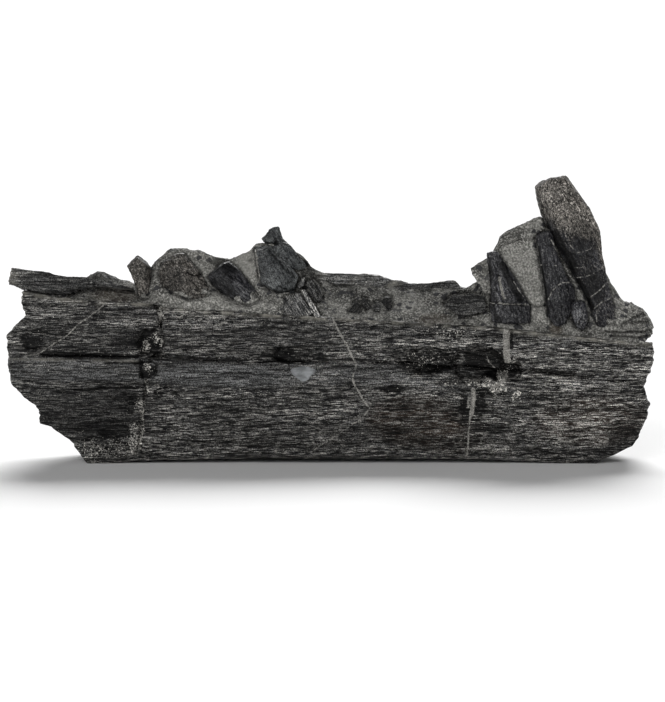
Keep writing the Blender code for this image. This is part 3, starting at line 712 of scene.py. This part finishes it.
def rockRows(wall, rise, x):
    # The lowest rows of the rock are inside the trough, the others go on from the edge of the jaw
    edge = along(jaw["top"], x) - 0.3
    top = np.maximum(edge + 3, along(wall["top"], x))
    inside = wall["bottom"] + (edge - wall["bottom"]) * np.clip(rise / (wall["sunk"] - 0.02), 0, 1)
    return np.where(rise < wall["sunk"], inside, edge + (top - edge) * aboveTrough(rise))


def makeRock(paint):
    mesh, places, x, z, deep, rise = layWall("matrixRock", rock, rows=rockRows)
    above = aboveTrough(rise)
    dome = soft(x, 76, 84) * soft(-x, -142, -128)
    slope = above * (1 - dome) + dome * along(rock["domeLean"], above)
    front = rock["front"] + along(rock["lean"], x) * slope
    flatPlaces = join(x, 0, z)
    smooth = np.clip(patches(x, z, rock["smooth"]), 0, 1)
    lumps = 1.8 * (np.abs(bumps(flatPlaces, 11, 72)) - 0.3) + 1.2 * rough(flatPlaces, 4.5, 73)
    front = front - lumps * soft(above, 0, 0.15) * (1 - 0.5 * dome) * (1 - smooth)
    wavy = z + 0.6 * bumps(flatPlaces, 4, 70)
    face = dome * soft(along(rock["rim"], x) - wavy, -0.4, 0.5) * soft(x, 80, 84)
    front = front + rock["faceDeep"] * face
    # Round every tooth and bit there is a sunken gap, darkened with painted shade, and in places a lip of
    # rock
    outlines = [toothOutline(tooth) for tooth in teeth.values()] + [bit["outline"] for bit in bits.values()]
    near = nearLines(x + 0.5 * bumps(flatPlaces, 2.5, 77), z, [(0, points) for points in outlines])
    gap = 1 - soft(near, 0.1, 1.3)
    lip = np.exp(-((near - 2.2) / 1.1) ** 2) * soft(bumps(flatPlaces, 7, 79), -0.3, 0.6)
    cracks = 1 - soft(nearLines(x, wavy, rock["cracks"]), -0.1, 0.4)
    carved = front + rock["gapDeep"] * gap - rock["lipHigh"] * lip + rock["crackDeep"] * cracks
    front = np.where(rise < rock["sunk"] - 0.02, rock["inTrough"], carved)
    bare = np.maximum(0, z - along(innerJaw["top"], x) - 3)
    back = rock["back"] - np.minimum(3.5, 0.3 * bare) * (1 + rough(flatPlaces, 9, 74))
    y = front * (1 - deep) + back * deep
    z = z + soft(rise, 0.9, 1) * (0.9 * rough(join(x, y, 0), 5, 75) - 0.3)
    uneven = 1 - 0.7 * smooth
    places = roughen(mesh, join(x, y, z), [(2.2, 0.4 * uneven, 76), (0.9, 0.2 * uneven, 78)])
    masks = {
        "pale": np.clip(patches(x, z, rock["pale"]) + 0.6 * lip, 0, 1),
        "smooth": smooth,
        "stain": np.clip(patches(x, z, rock["stain"]), 0, 1),
        # Painted shade darkens the gap round the teeth and bits
        "tone": np.clip(1 + patches(x, z, rock["tone"]), 0.3, 1.5) * (1 - 0.65 * gap) * (1 - 0.7 * cracks),
        "vein": nearLines(x, z, rock["veins"]),
    }
    finishPiece("matrixRock", mesh, places, paint, ["matrix"], masks)


# The teeth. Each rung gives x, z of the left edge and of the right edge, from the tip to the root. Axis gives
# y at the tip and at the root, depth compares front to back with the width, ends are the swells at both ends.
# A flat is a broken facet: x, z and y of a point on it, and the way it faces along x, y and z.
# Marks are calcite lines, and the dark lines are mostly painted shade in gaps, cracks and along shaded
# flanks: half width, then their x, z. Tones are patches as above.

teeth = {
    "toothStub": {
        "kind": "brown", "axis": (-9, -11), "depth": 0.75, "ends": (6, 2), "tone": 1.0,
        "rungs": [(-101.6, 98.2, -89.6, 97.4), (-99.3, 92.9, -90.3, 92.6), (-97.4, 88.3, -90.9, 87.6),
                  (-95, 82.6, -90.8, 81.9)],
        "flats": [((-98.8, 100.7, -9), (-0.68, -0.15, 0.73)), ((-93, 100.4, -9), (0.66, -0.15, 0.75)),
                  ((-92, 96, -13), (0.75, -0.65, 0.15))],
        "tones": [(-91.5, 96, 3, 6, -0.45)],
    },
    "toothBroken": {
        "kind": "brown", "axis": (-8, -12), "depth": 0.5, "ends": (1.5, 2), "tone": 0.68,
        "chips": 1.1, "fleck": 1.0,
        "rungs": [(-84.4, 98.6, -73.6, 104), (-85.6, 93.3, -69.3, 99.7), (-84.3, 89.7, -65, 95.4),
                  (-80, 85.4, -62.2, 90), (-71, 82, -59.8, 84.6)],
        "flats": [((-72.5, 99, -13.2), (0.5, -0.75, 0.35)), ((-83, 95, -12), (-0.6, -0.75, 0.1)),
                  ((-74, 88, -17.5), (-0.1, -0.95, -0.2))],
        "marks": [(0.1, [(-79.5, 101.5), (-76, 101.8)])],
        "shadeAndDarkLines": [(0.5, [(-71.5, 95.5), (-68.5, 93.5), (-65, 93.8)]),
                   (0.4, [(-70.5, 86), (-67, 84), (-63, 84.8)])],
        "tones": [(-69, 97, 4, 5, 0.5), (-79, 90, 7, 6, -0.4), (-66, 87, 5, 4, 0.3), (-76, 98, 4, 3, 0.15)],
        "cracks": [(0.8, 1.5, [(-71.5, 95.5), (-68.5, 93.5), (-64, 93.8)])],
    },
    "toothDark": {
        "kind": "black", "axis": (-9, -13), "depth": 0.62, "ends": (1.5, 2), "tone": 0.85, "chips": 0.45,
        "rungs": [(-60.8, 92.4, -50.3, 100.2), (-59.2, 88.6, -45.7, 96.9), (-54, 84.6, -42, 91.5),
                  (-47, 80.6, -37.6, 86.4), (-40, 79, -34.4, 82)],
        "flats": [((-46, 91.5, -15.3), (0.52, -0.75, 0.4)), ((-54, 88, -14.5), (-0.5, -0.85, -0.15)),
                  ((-51, 98.5, -11), (0.25, -0.8, 0.55))],
        # The last tone is painted shade on the tooth's top facet
        "tones": [(-55, 88, 7, 7, -0.55), (-44, 90, 5, 8, 0.9), (-40, 84, 4, 4, 0.5), (-48, 85, 4, 4, -0.5),
                  (-52, 98, 7, 4, -0.5)],
        "marks": [(0.5, [(-46.6, 80.9), (-46.2, 80.9)]), (0.4, [(-43.4, 80.3), (-42.9, 80.1)]),
                  (0.3, [(-40.6, 80.6), (-40.2, 80.4)])],
    },
    "toothGrey": {
        "kind": "grey", "axis": (-7, -13), "depth": 0.5, "ends": (1.5, 3), "tone": 0.95, "chips": 0.2,
        "rungs": [(-38, 107, -31, 107.7), (-37, 101, -26, 103), (-36, 95, -20.2, 98.5),
                  (-34.5, 89.8, -15.6, 93), (-28, 85.6, -18, 86.6)],
        "flats": [((-31, 97, -13.2), (-0.25, -0.95, 0.2)), ((-21, 93, -14), (0.5, -0.8, 0.2)),
                  ((-24, 87.5, -15), (0.1, -0.8, -0.6)), ((-34, 105.5, -9), (-0.2, -0.6, 0.8))],
        "marks": [(0.3, [(-37.3, 106), (-36.4, 100), (-35.2, 92)]),
                  (0.12, [(-37, 101), (-35, 102.8), (-33, 103.2)])],
        "shadeAndDarkLines": [(0.4, [(-31.5, 107), (-27.2, 102), (-22.8, 97), (-18, 92.5)]),
                   (0.8, [(-28, 86), (-24, 84.6), (-19, 86.5)])],
        "tones": [(-34.5, 97, 3, 7, -0.3), (-27, 90, 6, 5, 0.25), (-18, 94, 3, 4, 0.2)],
    },
    "toothBehind": {
        "kind": "grey", "axis": (1, -4), "depth": 0.6, "ends": (2.4, 2), "tone": 0.95, "chips": 0.6,
        "rungs": [(-31.2, 114.6, -25.4, 115.4), (-34.2, 111.2, -24, 111.4), (-31.5, 107.5, -19.5, 107),
                  (-27.5, 102.5, -16, 102.5), (-22, 97, -11.3, 98)],
        "flats": [((-29, 108, -3.4), (-0.2, -0.95, 0.2)), ((-19, 105, -4), (0.6, -0.7, 0.35))],
        "shadeAndDarkLines": [(0.9, [(-31, 109), (-28.5, 108.6), (-27, 109.4)])],
        "tones": [(-22, 104, 5, 6, 0.2)],
        "cracks": [(1.2, 1.8, [(-32, 109), (-28.5, 108.6), (-26.5, 109.6)])],
    },
    "toothNarrow": {
        "kind": "black", "axis": (-11, -14), "depth": 0.4, "ends": (0.8, 1.5), "tone": 1.15, "chips": 0.5,
        "cells": (88, 150),
        "rungs": [(78.3, 104.6, 84.2, 105), (79.1, 97.9, 88.2, 98.3), (80, 90.8, 93.2, 91.1),
                  (80, 83.6, 96.8, 84), (79.6, 78.4, 100, 78.8), (81, 71.3, 100.2, 70.8)],
        "flats": [((83, 95, -14.3), (-0.35, -0.93, 0.05)), ((92, 90, -15), (0.5, -0.85, 0.15))],
        "marks": [(0.6, [(84.6, 92.5), (85.3, 88), (87, 82.5)]),
                  (0.15, [(80, 80), (86, 79.8), (92, 79.6), (100, 79)]),
                  (0.12, [(91, 91.5), (95, 85.5), (98, 81)])],
        "shadeAndDarkLines": [(1.7, [(86, 99), (88.5, 93), (92.5, 86.5), (95.5, 82)]),
                   (0.7, [(79.9, 102), (80.2, 88), (80, 74)]),
                   (1.2, [(81, 79), (83, 73), (85, 71.5)])],
        "tones": [(85.5, 85, 2.5, 6, 0.9), (83, 77, 3, 3.5, 0.6), (93, 76, 6, 4, -0.1)],
        "cracks": [(0.7, 1.4, [(79, 80.3), (92, 79.6), (100.5, 79)]),
                   (0.6, 1.2, [(84, 94), (85, 88), (86.5, 82)])],
    },
    "toothLong": {
        "kind": "black", "axis": (-11, -15), "depth": 0.42, "ends": (2, 2), "tone": 1.05, "cells": (96, 160),
        "rungs": [(102.7, 112, 110.7, 115), (104.1, 105.8, 112.9, 106.5), (105.1, 99.4, 115.4, 100.1),
                  (106.3, 92.2, 118.2, 93.3), (107.3, 85.8, 123, 86.9), (108.2, 79.4, 123.5, 80.4),
                  (108.8, 73.8, 120.5, 75), (111.4, 70.2, 117.5, 70.8)],
        "flats": [((107, 100, -14.6), (-0.3, -0.95, 0.1)), ((114, 101, -14.3), (0.45, -0.88, 0.1))],
        "marks": [(0.18, [(109, 82), (110.5, 85.5), (113, 88.5), (116, 90.3), (119.5, 90.2)]),
                  (0.12, [(125.6, 84), (127.3, 79), (128, 75)]),
                  (0.1, [(104.8, 98.9), (108, 99.2), (113, 98.8)]),
                  (0.12, [(110.5, 111.5), (112.5, 107), (115.2, 102.3), (119, 101)])],
        "shadeAndDarkLines": [(0.8, [(103.6, 108), (105.3, 100), (107, 90), (108.2, 80), (108.4, 73)])],
        "tones": [(110, 105, 5, 8, 0.25), (115, 79, 8, 8, -0.15), (111, 92, 4, 8, -0.15)],
    },
    "toothBulb": {
        "kind": "black", "axis": (-15, -15.5), "depth": 0.75, "ends": (2, 1.5), "tone": 1.8,
        "rungs": [(120.8, 78.8, 127.6, 80), (120.3, 74.4, 128.8, 75.1), (121.3, 70.2, 128.5, 70.8),
                  (123.6, 68, 127.2, 68.2)],
        "flats": [((124, 76, -18.3), (0.1, -1, 0.1))],
        "shadeAndDarkLines": [(0.4, [(120.2, 78), (120.6, 73), (122.5, 69)])],
    },
    "toothBig": {
        "kind": "brown", "axis": (-4.5, -11.5), "depth": 0.8, "ends": (4, 2), "tone": 1.2,
        "cells": (128, 220),
        "rungs": [(102.9, 136.4, 119.2, 142.2), (103.9, 130.1, 125.5, 132.6), (105.6, 123.3, 130.3, 126.5),
                  (109.6, 116.5, 134, 118.6), (112.5, 110.1, 135.4, 112.2), (116.1, 102.9, 136.1, 104.4),
                  (120.7, 95.1, 137.6, 96.5), (124.6, 88.3, 139.2, 89.4), (128.2, 81.9, 141, 82.9),
                  (130.7, 75.1, 142.4, 76.1), (133.2, 69, 142.4, 69.8)],
        "flats": [((105.3, 139.4, -4), (-0.62, -0.15, 0.78)), ((112.5, 142.7, -8), (-0.2, 0.14, 0.97)),
                  ((105.2, 130, -7.5), (-0.8, -0.58, -0.15)), ((118.6, 141.6, -6), (0.75, -0.2, 0.62)),
                  ((127, 122, -13.3), (0.45, -0.88, 0.1))],
        # Where the brown crown ends
        "crown": [(100, 124), (110, 120.5), (116, 116), (121, 113.2), (125, 113), (131, 112), (134, 104),
                  (138, 97)],
        "marks": [(0.14, [(123, 105.2), (126.5, 105.6), (130, 107), (131.5, 109.2)]),
                  (0.1, [(123, 92.5), (128, 93.6), (131, 94.4), (136, 98)]),
                  (0.1, [(122, 97.6), (127, 98.3)]), (0.16, [(130.5, 83.4), (134, 85.8), (138.5, 90)]),
                  (0.12, [(132, 77.3), (136, 80.6), (140, 82)]), (0.12, [(133, 76), (133.5, 70.5)]),
                  (0.12, [(110.5, 112), (114, 104.5), (117, 102)]),
                  (0.1, [(116, 117.5), (119, 110), (121.5, 107)])],
        "shadeAndDarkLines": [(1.9, [(112.5, 115), (115.5, 108), (119.5, 103), (122, 96)]),
                   (1.0, [(124, 92), (128.5, 84), (131.5, 77)]), (0.5, [(105.8, 126), (110, 117)])],
        # The last tone is painted shade on the crown's top facet
        "tones": [(118, 134, 14, 14, 0.3), (104.5, 128, 3, 10, -0.25), (132, 88, 7, 10, -0.25),
                  (134, 74, 6, 6, 0.1), (134, 101, 4, 7, 0.6), (126, 96, 14, 26, -0.45),
                  (112, 142, 9, 3, -0.3)],
    },
}
plainTooth = {"cells": (72, 100), "chips": 0.25, "cracks": [], "tones": [], "fleck": 0.6}


def evenRungs(rungs, count=240, blur=7):
    # The rungs of a tooth read at even steps along its axis, with softened corners
    rungs = np.asarray(rungs, float)
    length = np.r_[0, np.cumsum(np.hypot(*np.diff(rungs[:, :2] + rungs[:, 2:], axis=0).T) / 2)]
    even = np.linspace(0, length[-1], count)
    weight = np.hanning(2 * blur + 3)[1:-1]
    columns = []
    for column in rungs.T:
        padded = np.pad(np.interp(even, length, column), blur, mode="reflect", reflect_type="odd")
        columns.append(np.convolve(padded, weight / weight.sum(), "valid"))
    return even, np.array(columns)


def toothOutline(tooth):
    # The closed outline of a tooth in x and z
    even, (leftX, leftZ, rightX, rightZ) = evenRungs(tooth["rungs"], count=24, blur=1)
    points = list(zip(leftX, leftZ)) + list(zip(rightX, rightZ))[::-1]
    return points + points[:1]


def makeTooth(name, tooth):
    tooth = {**plainTooth, **tooth}
    around, down = tooth["cells"]
    bm = bmesh.new()
    bmesh.ops.create_uvsphere(bm, u_segments=around, v_segments=down, radius=1)
    mesh = toMesh(bm, name)
    ballX, ballY, ballZ = readPlaces(mesh).T
    turn = np.arctan2(ballY, ballX)
    share = np.arccos(np.clip(ballZ, -1, 1)) / math.pi
    cap = 0.12  # share of the rings that close each end
    swell = np.clip(np.minimum(share, 1 - share) / cap, 0, 1)
    even, rungs = evenRungs(tooth["rungs"])
    place = np.clip((share - cap) / (1 - 2 * cap), 0, 1) * even[-1]
    leftX, leftZ, rightX, rightZ = [np.interp(place, even, column) for column in rungs]
    wayX = np.interp(place, even, np.gradient(rungs[0] + rungs[2], even))
    wayZ = np.interp(place, even, np.gradient(rungs[1] + rungs[3], even))
    size = np.hypot(wayX, wayZ)
    halfX, halfZ = (rightX - leftX) / 2, (rightZ - leftZ) / 2
    # Round each ring, a little squarer than a circle and with ribs along the tooth
    side, front = [np.sign(way) * np.abs(way) ** 0.85 for way in (np.cos(turn), np.sin(turn))]
    ring = join(np.cos(turn), np.sin(turn), place * 0.02)
    ribs = 1 + 0.05 * bumps(ring, 0.33, 80) + 0.025 * bumps(ring, 0.11, 81)
    across = side * swell * ribs
    dome = np.where(share < 0.5, -tooth["ends"][0], tooth["ends"][1]) * np.sqrt(1 - swell ** 2)
    axis = np.interp(place, (0, even[-1]), tooth["axis"])
    places = join(
        (leftX + rightX) / 2 + across * halfX + dome * wayX / size,
        axis + np.hypot(halfX, halfZ) * swell * tooth["depth"] * front * ribs,
        (leftZ + rightZ) / 2 + across * halfZ + dome * wayZ / size,
    )
    places = pressFlat(places, [((x, y, z), way) for (x, z, y), way in tooth["flats"]])
    x, z = places[:, 0], places[:, 2]
    places[:, 1] = cutCracks(places[:, 1], x, z, tooth["cracks"], core=0.2, share=front < 0)
    chips = tooth["chips"]
    layers = [(6, chips, 82), (1.6, 0.1 + 0.25 * chips, 84), (0.7, 0.05 + 0.12 * chips, 86)]
    places = roughen(mesh, places, layers)
    tone = tooth["tone"] * (1 + patches(x, z, tooth["tones"]))
    crown, fleck = 1.0, tooth["fleck"]
    if "crown" in tooth:
        over = z - along(tooth["crown"], x) + 3.5 * rough(places, 6, 88)
        crown = soft(over, -4, 4)
        fleck = 0.3 + 0.7 * crown
        tone = tone * (0.85 + 0.2 * crown - 0.3 * crown * (1 - soft(over, 0, 18)))
    if "shadeAndDarkLines" in tooth:
        # Painted shade along the dark lines
        near = nearLines(x, z, tooth["shadeAndDarkLines"]) + 0.4 * bumps(places, 2, 90)
        tone = tone * (0.18 + 0.82 * soft(near, -0.5, 0.5))
    masks = {"tone": tone, "crown": crown, "fleck": fleck}
    if "marks" in tooth:
        masks["vein"] = nearLines(x, z, tooth["marks"])
    lean = math.degrees(math.atan2(rungs[0, -1] + rungs[2, -1] - rungs[0, 0] - rungs[2, 0],
                                   rungs[1, 0] + rungs[3, 0] - rungs[1, -1] - rungs[3, -1]))
    paint = makeToothPaint(name + "Enamel", tooth["kind"], lean)
    finishPiece(name, mesh, places, paint, [nodeOf(name)], masks)


# Bits of bone in the rock, each a ball pressed flat on its front, back and sides: outline in x and z, y of
# the front, thickness, the way the front faces and the turn of the fibres in degrees

bits = {
    "boneBlock": {
        "front": -19.5, "thick": 8, "cuts": 6, "tone": 1.1, "turn": -60,
        "outline": [(-23.5, 83), (-19, 84.8), (-15.5, 85.8), (-8.2, 75), (-11, 73.6), (-23.2, 74.6)],
    },
    "boneStrip": {
        "front": -20, "thick": 7, "tone": 1.6, "turn": -62, "fleck": 0.6,
        "outline": [(-14.3, 87.3), (-12, 86.7), (-4.3, 73.4), (-7.2, 73.2)],
    },
    "boneSliver": {
        "front": -13, "way": (-0.3, -1, 0.1), "tone": 1.2, "turn": 75,
        "outline": [(-16.6, 86), (-13.2, 89), (-12.6, 92.8), (-15.2, 91.2)],
    },
    "boneLump": {
        "front": -12, "thick": 7, "way": (0.2, -1, 0.2), "tone": 0.8, "turn": -60,
        "outline": [(-12, 90), (-8, 91.8), (-4.8, 88), (-3.2, 82), (-6.7, 79.6)],
    },
    "boneChip1": {
        "front": -15, "way": (-0.5, -0.8, 0.3), "tone": 0.4, "turn": 50,
        "outline": [(8.8, 75.2), (12.6, 81.3), (15.4, 78), (14.6, 75.4)],
    },
    "boneChip2": {
        "front": -14, "way": (0.4, -0.9, 0.1), "tone": 0.45, "turn": 120,
        "outline": [(14.9, 79.5), (16.4, 82.8), (18.6, 81.6), (20.6, 77.8), (18.2, 76.6)],
    },
    "boneChip3": {
        "front": -14, "way": (0.1, -1, 0.3), "tone": 0.9,
        "outline": [(21.4, 76), (22.2, 80), (24.2, 81.3), (25.2, 78.4), (24.6, 75.6)],
    },
    "boneChip4": {
        "front": -13, "way": (0.4, -0.9, -0.2), "tone": 0.3,
        "outline": [(25.7, 80.2), (27.4, 83.2), (30.8, 82.6), (31, 77.2), (29.4, 76)],
    },
    "boneFlake": {
        "front": -16.5, "thick": 9, "cuts": 6, "tone": 0.5,
        "outline": [(56.8, 79), (61, 83.3), (70, 84.8), (77.3, 83.7), (77.8, 76), (66, 73.8)],
    },
    # A thin plate of the rock itself, left of the dome
    "rockPlate": {
        "front": -10, "thick": 7, "tone": 0.85, "slot": "limestone",
        "outline": [(69.5, 96.5), (78.2, 102.2), (83, 104), (83, 84), (78.6, 84.6), (74.3, 86), (71.6, 93.4)],
    },
}
plainBit = {"thick": 6, "way": (0.05, -1, 0.12), "cuts": 5, "fleck": 0.3, "slot": "fossil_bone"}


def makeBit(name, bit, paint):
    bm = bmesh.new()
    bmesh.ops.create_icosphere(bm, subdivisions=bit["cuts"], radius=1)
    mesh = toMesh(bm, name)
    outline = np.asarray(bit["outline"], float)
    middle = outline.mean(axis=0)
    reach = np.hypot(*(outline - middle).T).max() * 1.25  # beyond the outline, so that every side is pressed
    leanBack = 0.2  # of the sides, so that no pale rim shows above
    front, back = bit["front"], bit["front"] + bit["thick"]
    centre = np.array([middle[0], bit["front"] + bit["thick"] / 2, middle[1]])
    places = readPlaces(mesh) * (reach, bit["thick"] * 0.72, reach) + centre
    planes = [((middle[0], front, middle[1]), bit["way"]), ((middle[0], back, middle[1]), (0, 1, 0))]
    for here, after in zip(outline, np.roll(outline, -1, axis=0)):
        run = after - here
        way = np.array([-run[1], run[0]])
        if way @ (here - middle) < 0:
            way = -way
        planes.append(((here[0], front, here[1]), (way[0], leanBack * np.hypot(*way), way[1])))
    for _ in range(3):
        places = pressFlat(places, planes, wear=0.25)
    places = roughen(mesh, places, [(3, 0.3, 92), (1, 0.14, 94)])
    masks = {
        "tone": bit["tone"] * (1 + 0.3 * rough(places, 4, 97)),
        "fleck": bit["fleck"],
        "ledge": 0.5,
        "relief": 0.5 + 0.4 * bumps(places, 1.2, 96),
    }
    nodes = [nodeOf(name)] if bit["slot"] == "fossil_bone" else []
    finishPiece(name, mesh, places, paint, nodes, masks)


# The long splinter on the upper left edge

splinter = {
    "cells": (190, 34, 14),
    "top": [(-158, 98), (-152, 97.5), (-140, 96), (-131, 93.5), (-122, 93.5), (-113, 91), (-105, 89.5),
            (-98, 88)],
    "under": [(-159.5, 90), (-154, 87.3), (-140, 85.3), (-132, 84.4), (-125, 87), (-117, 88), (-98, 86.4)],
    "left": -159, "right": -98, "front": -21.5, "back": -8,
    # How far the lower half of the front and the right end curl back, and how far the top slopes down behind
    "curl": 2.5, "rightCurl": 4, "slope": 3.5,
    "cracks": [(1, 1.2, [(-118, 93), (-116.5, 90), (-119, 86)])],
}


def makeSplinter(paint):
    mesh = toMesh(makeBlock(*splinter["cells"]), "boneSplinter")
    part, deep, rise = readPlaces(mesh).T
    x = splinter["left"] + (splinter["right"] - splinter["left"]) * part
    low = along(splinter["under"], x)
    z = low + (along(splinter["top"], x) - low) * rise
    y = splinter["front"] + (splinter["back"] - splinter["front"]) * deep
    curl = splinter["curl"] * np.where(rise < 0.5, 1.0, 0.15) * (2 * rise - 1) ** 2
    y = y + (1 - deep) * (curl + splinter["rightCurl"] * part ** 3)
    z = z - splinter["slope"] * deep * rise
    places = join(x, y, z)
    x = x + soft(0.03 - part, 0, 0.03) * (1.4 * (rise - 0.5) + 1.2 * rough(places, 5, 101))
    fibres = crest(places * (1, 0, 1), (22, 9, 2.2), 102)
    y = y - 0.4 * fibres * (1 - deep)
    y = cutCracks(y, x, z, splinter["cracks"], core=0.2, share=1 - deep)
    places = roughen(mesh, join(x, y, z), [(7, 0.5, 103), (1.8, 0.2, 105), (0.8, 0.1, 107)])
    underDust = 0.35 * soft(x, -118, -108) * soft(0.4 - rise, 0, 0.3)
    masks = {
        "relief": 0.35 + 0.5 * fibres,
        "fleck": 0.25 + 0.5 * soft(-x, 150, 158),
        "ledge": 0.6,
        "tone": (0.8 - 0.4 * soft(0.25 - rise, 0, 0.2)) * (1 + 0.3 * soft(-x, 150, 157)),
        "dust": underDust + 0.3 * soft(-x, 154, 158),
    }
    finishPiece("boneSplinter", mesh, places, paint, ["bone_splinter"], masks)


paints = {"fossil_bone": makeBonePaint("weatheredBone"), "limestone": makeRockPaint()}
makeJawBone(paints["fossil_bone"])
makeInnerJawBone(paints["fossil_bone"])
makeRock(paints["limestone"])
makeSplinter(paints["fossil_bone"])
for toothName, toothValues in teeth.items():
    makeTooth(toothName, toothValues)
for bitName, bitValues in bits.items():
    bitValues = {**plainBit, **bitValues}
    bitPaint = paints[bitValues["slot"]]
    if "turn" in bitValues:
        bitPaint = makeBonePaint(bitName + "Bone", bitValues["turn"])
    makeBit(bitName, bitValues, bitPaint)


# Studio: pale floor, soft lights and the camera

studio = {
    "lens": 200, "sensor": 36, "elevation": 5.6, "aim": (1.25, -15, 56), "seenHeight": 351,
    # Way each soft light comes from, its strength and its spread in degrees
    "lights": {
        "front": {"from": (-0.35, -1.0, 0.49), "strength": 1.35, "spread": 35},
        "behind": {"from": (0.1, 1.0, 0.84), "strength": 4.4, "spread": 35},
    },
    "air": 0.1, "horizon": 1.0,  # strength of the sky light overhead and near the ground
    "floorReach": 60, "floorColour": (0.9, 0.9, 0.9, 1),  # metres, so that no edge of the floor is seen
}


def makeStudio():
    bm = bmesh.new()
    bmesh.ops.create_circle(bm, cap_ends=True, segments=96, radius=studio["floorReach"])
    floor = bpy.data.objects.new("floor", toMesh(bm, "floor"))
    bpy.context.scene.collection.objects.link(floor)
    paint, _, shader = newPaint("paleFloor", 0.0)
    shader.inputs["Base Color"].default_value = studio["floorColour"]
    shader.inputs["Roughness"].default_value = 1
    floor.data.materials.append(paint)
    for name, light in studio["lights"].items():
        lamp = bpy.data.lights.new(name, "SUN")
        lamp.energy, lamp.angle = light["strength"], math.radians(light["spread"])
        holder = bpy.data.objects.new(name, lamp)
        holder.rotation_euler = (-Vector(light["from"])).to_track_quat("-Z", "Y").to_euler()
        bpy.context.scene.collection.objects.link(holder)
    world = bpy.data.worlds.new("studioAir")
    world.use_nodes = True
    tree = world.node_tree
    way = put(tree, "TexCoord", {}, out="Generated")
    height = put(tree, "SeparateXYZ", {"Vector": way}, out="Z")
    strength = between(tree, height, 0.02, 0.3, studio["horizon"], studio["air"])
    tree.links.new(strength, tree.nodes["Background"].inputs["Strength"])
    tree.nodes["Background"].inputs["Color"].default_value = (1, 1, 1, 1)
    bpy.context.scene.world = world
    print("studio:", len(studio["lights"]), "lights")


def makeCamera():
    lens = bpy.data.cameras.new("camera")
    lens.lens, lens.sensor_width = studio["lens"], studio["sensor"]
    away = studio["seenHeight"] * mm * studio["lens"] / studio["sensor"]
    tilt = math.radians(studio["elevation"])
    camera = bpy.data.objects.new("camera", lens)
    camera.location = Vector(studio["aim"]) * mm + Vector((0, -math.cos(tilt), math.sin(tilt))) * away
    camera.rotation_euler = (math.radians(90) - tilt, 0, 0)
    bpy.context.scene.collection.objects.link(camera)
    bpy.context.scene.camera = camera
    print("camera:", round(away, 2), "metres away")


makeStudio()
makeCamera()
bpy.context.scene.view_settings.view_transform = "Standard"
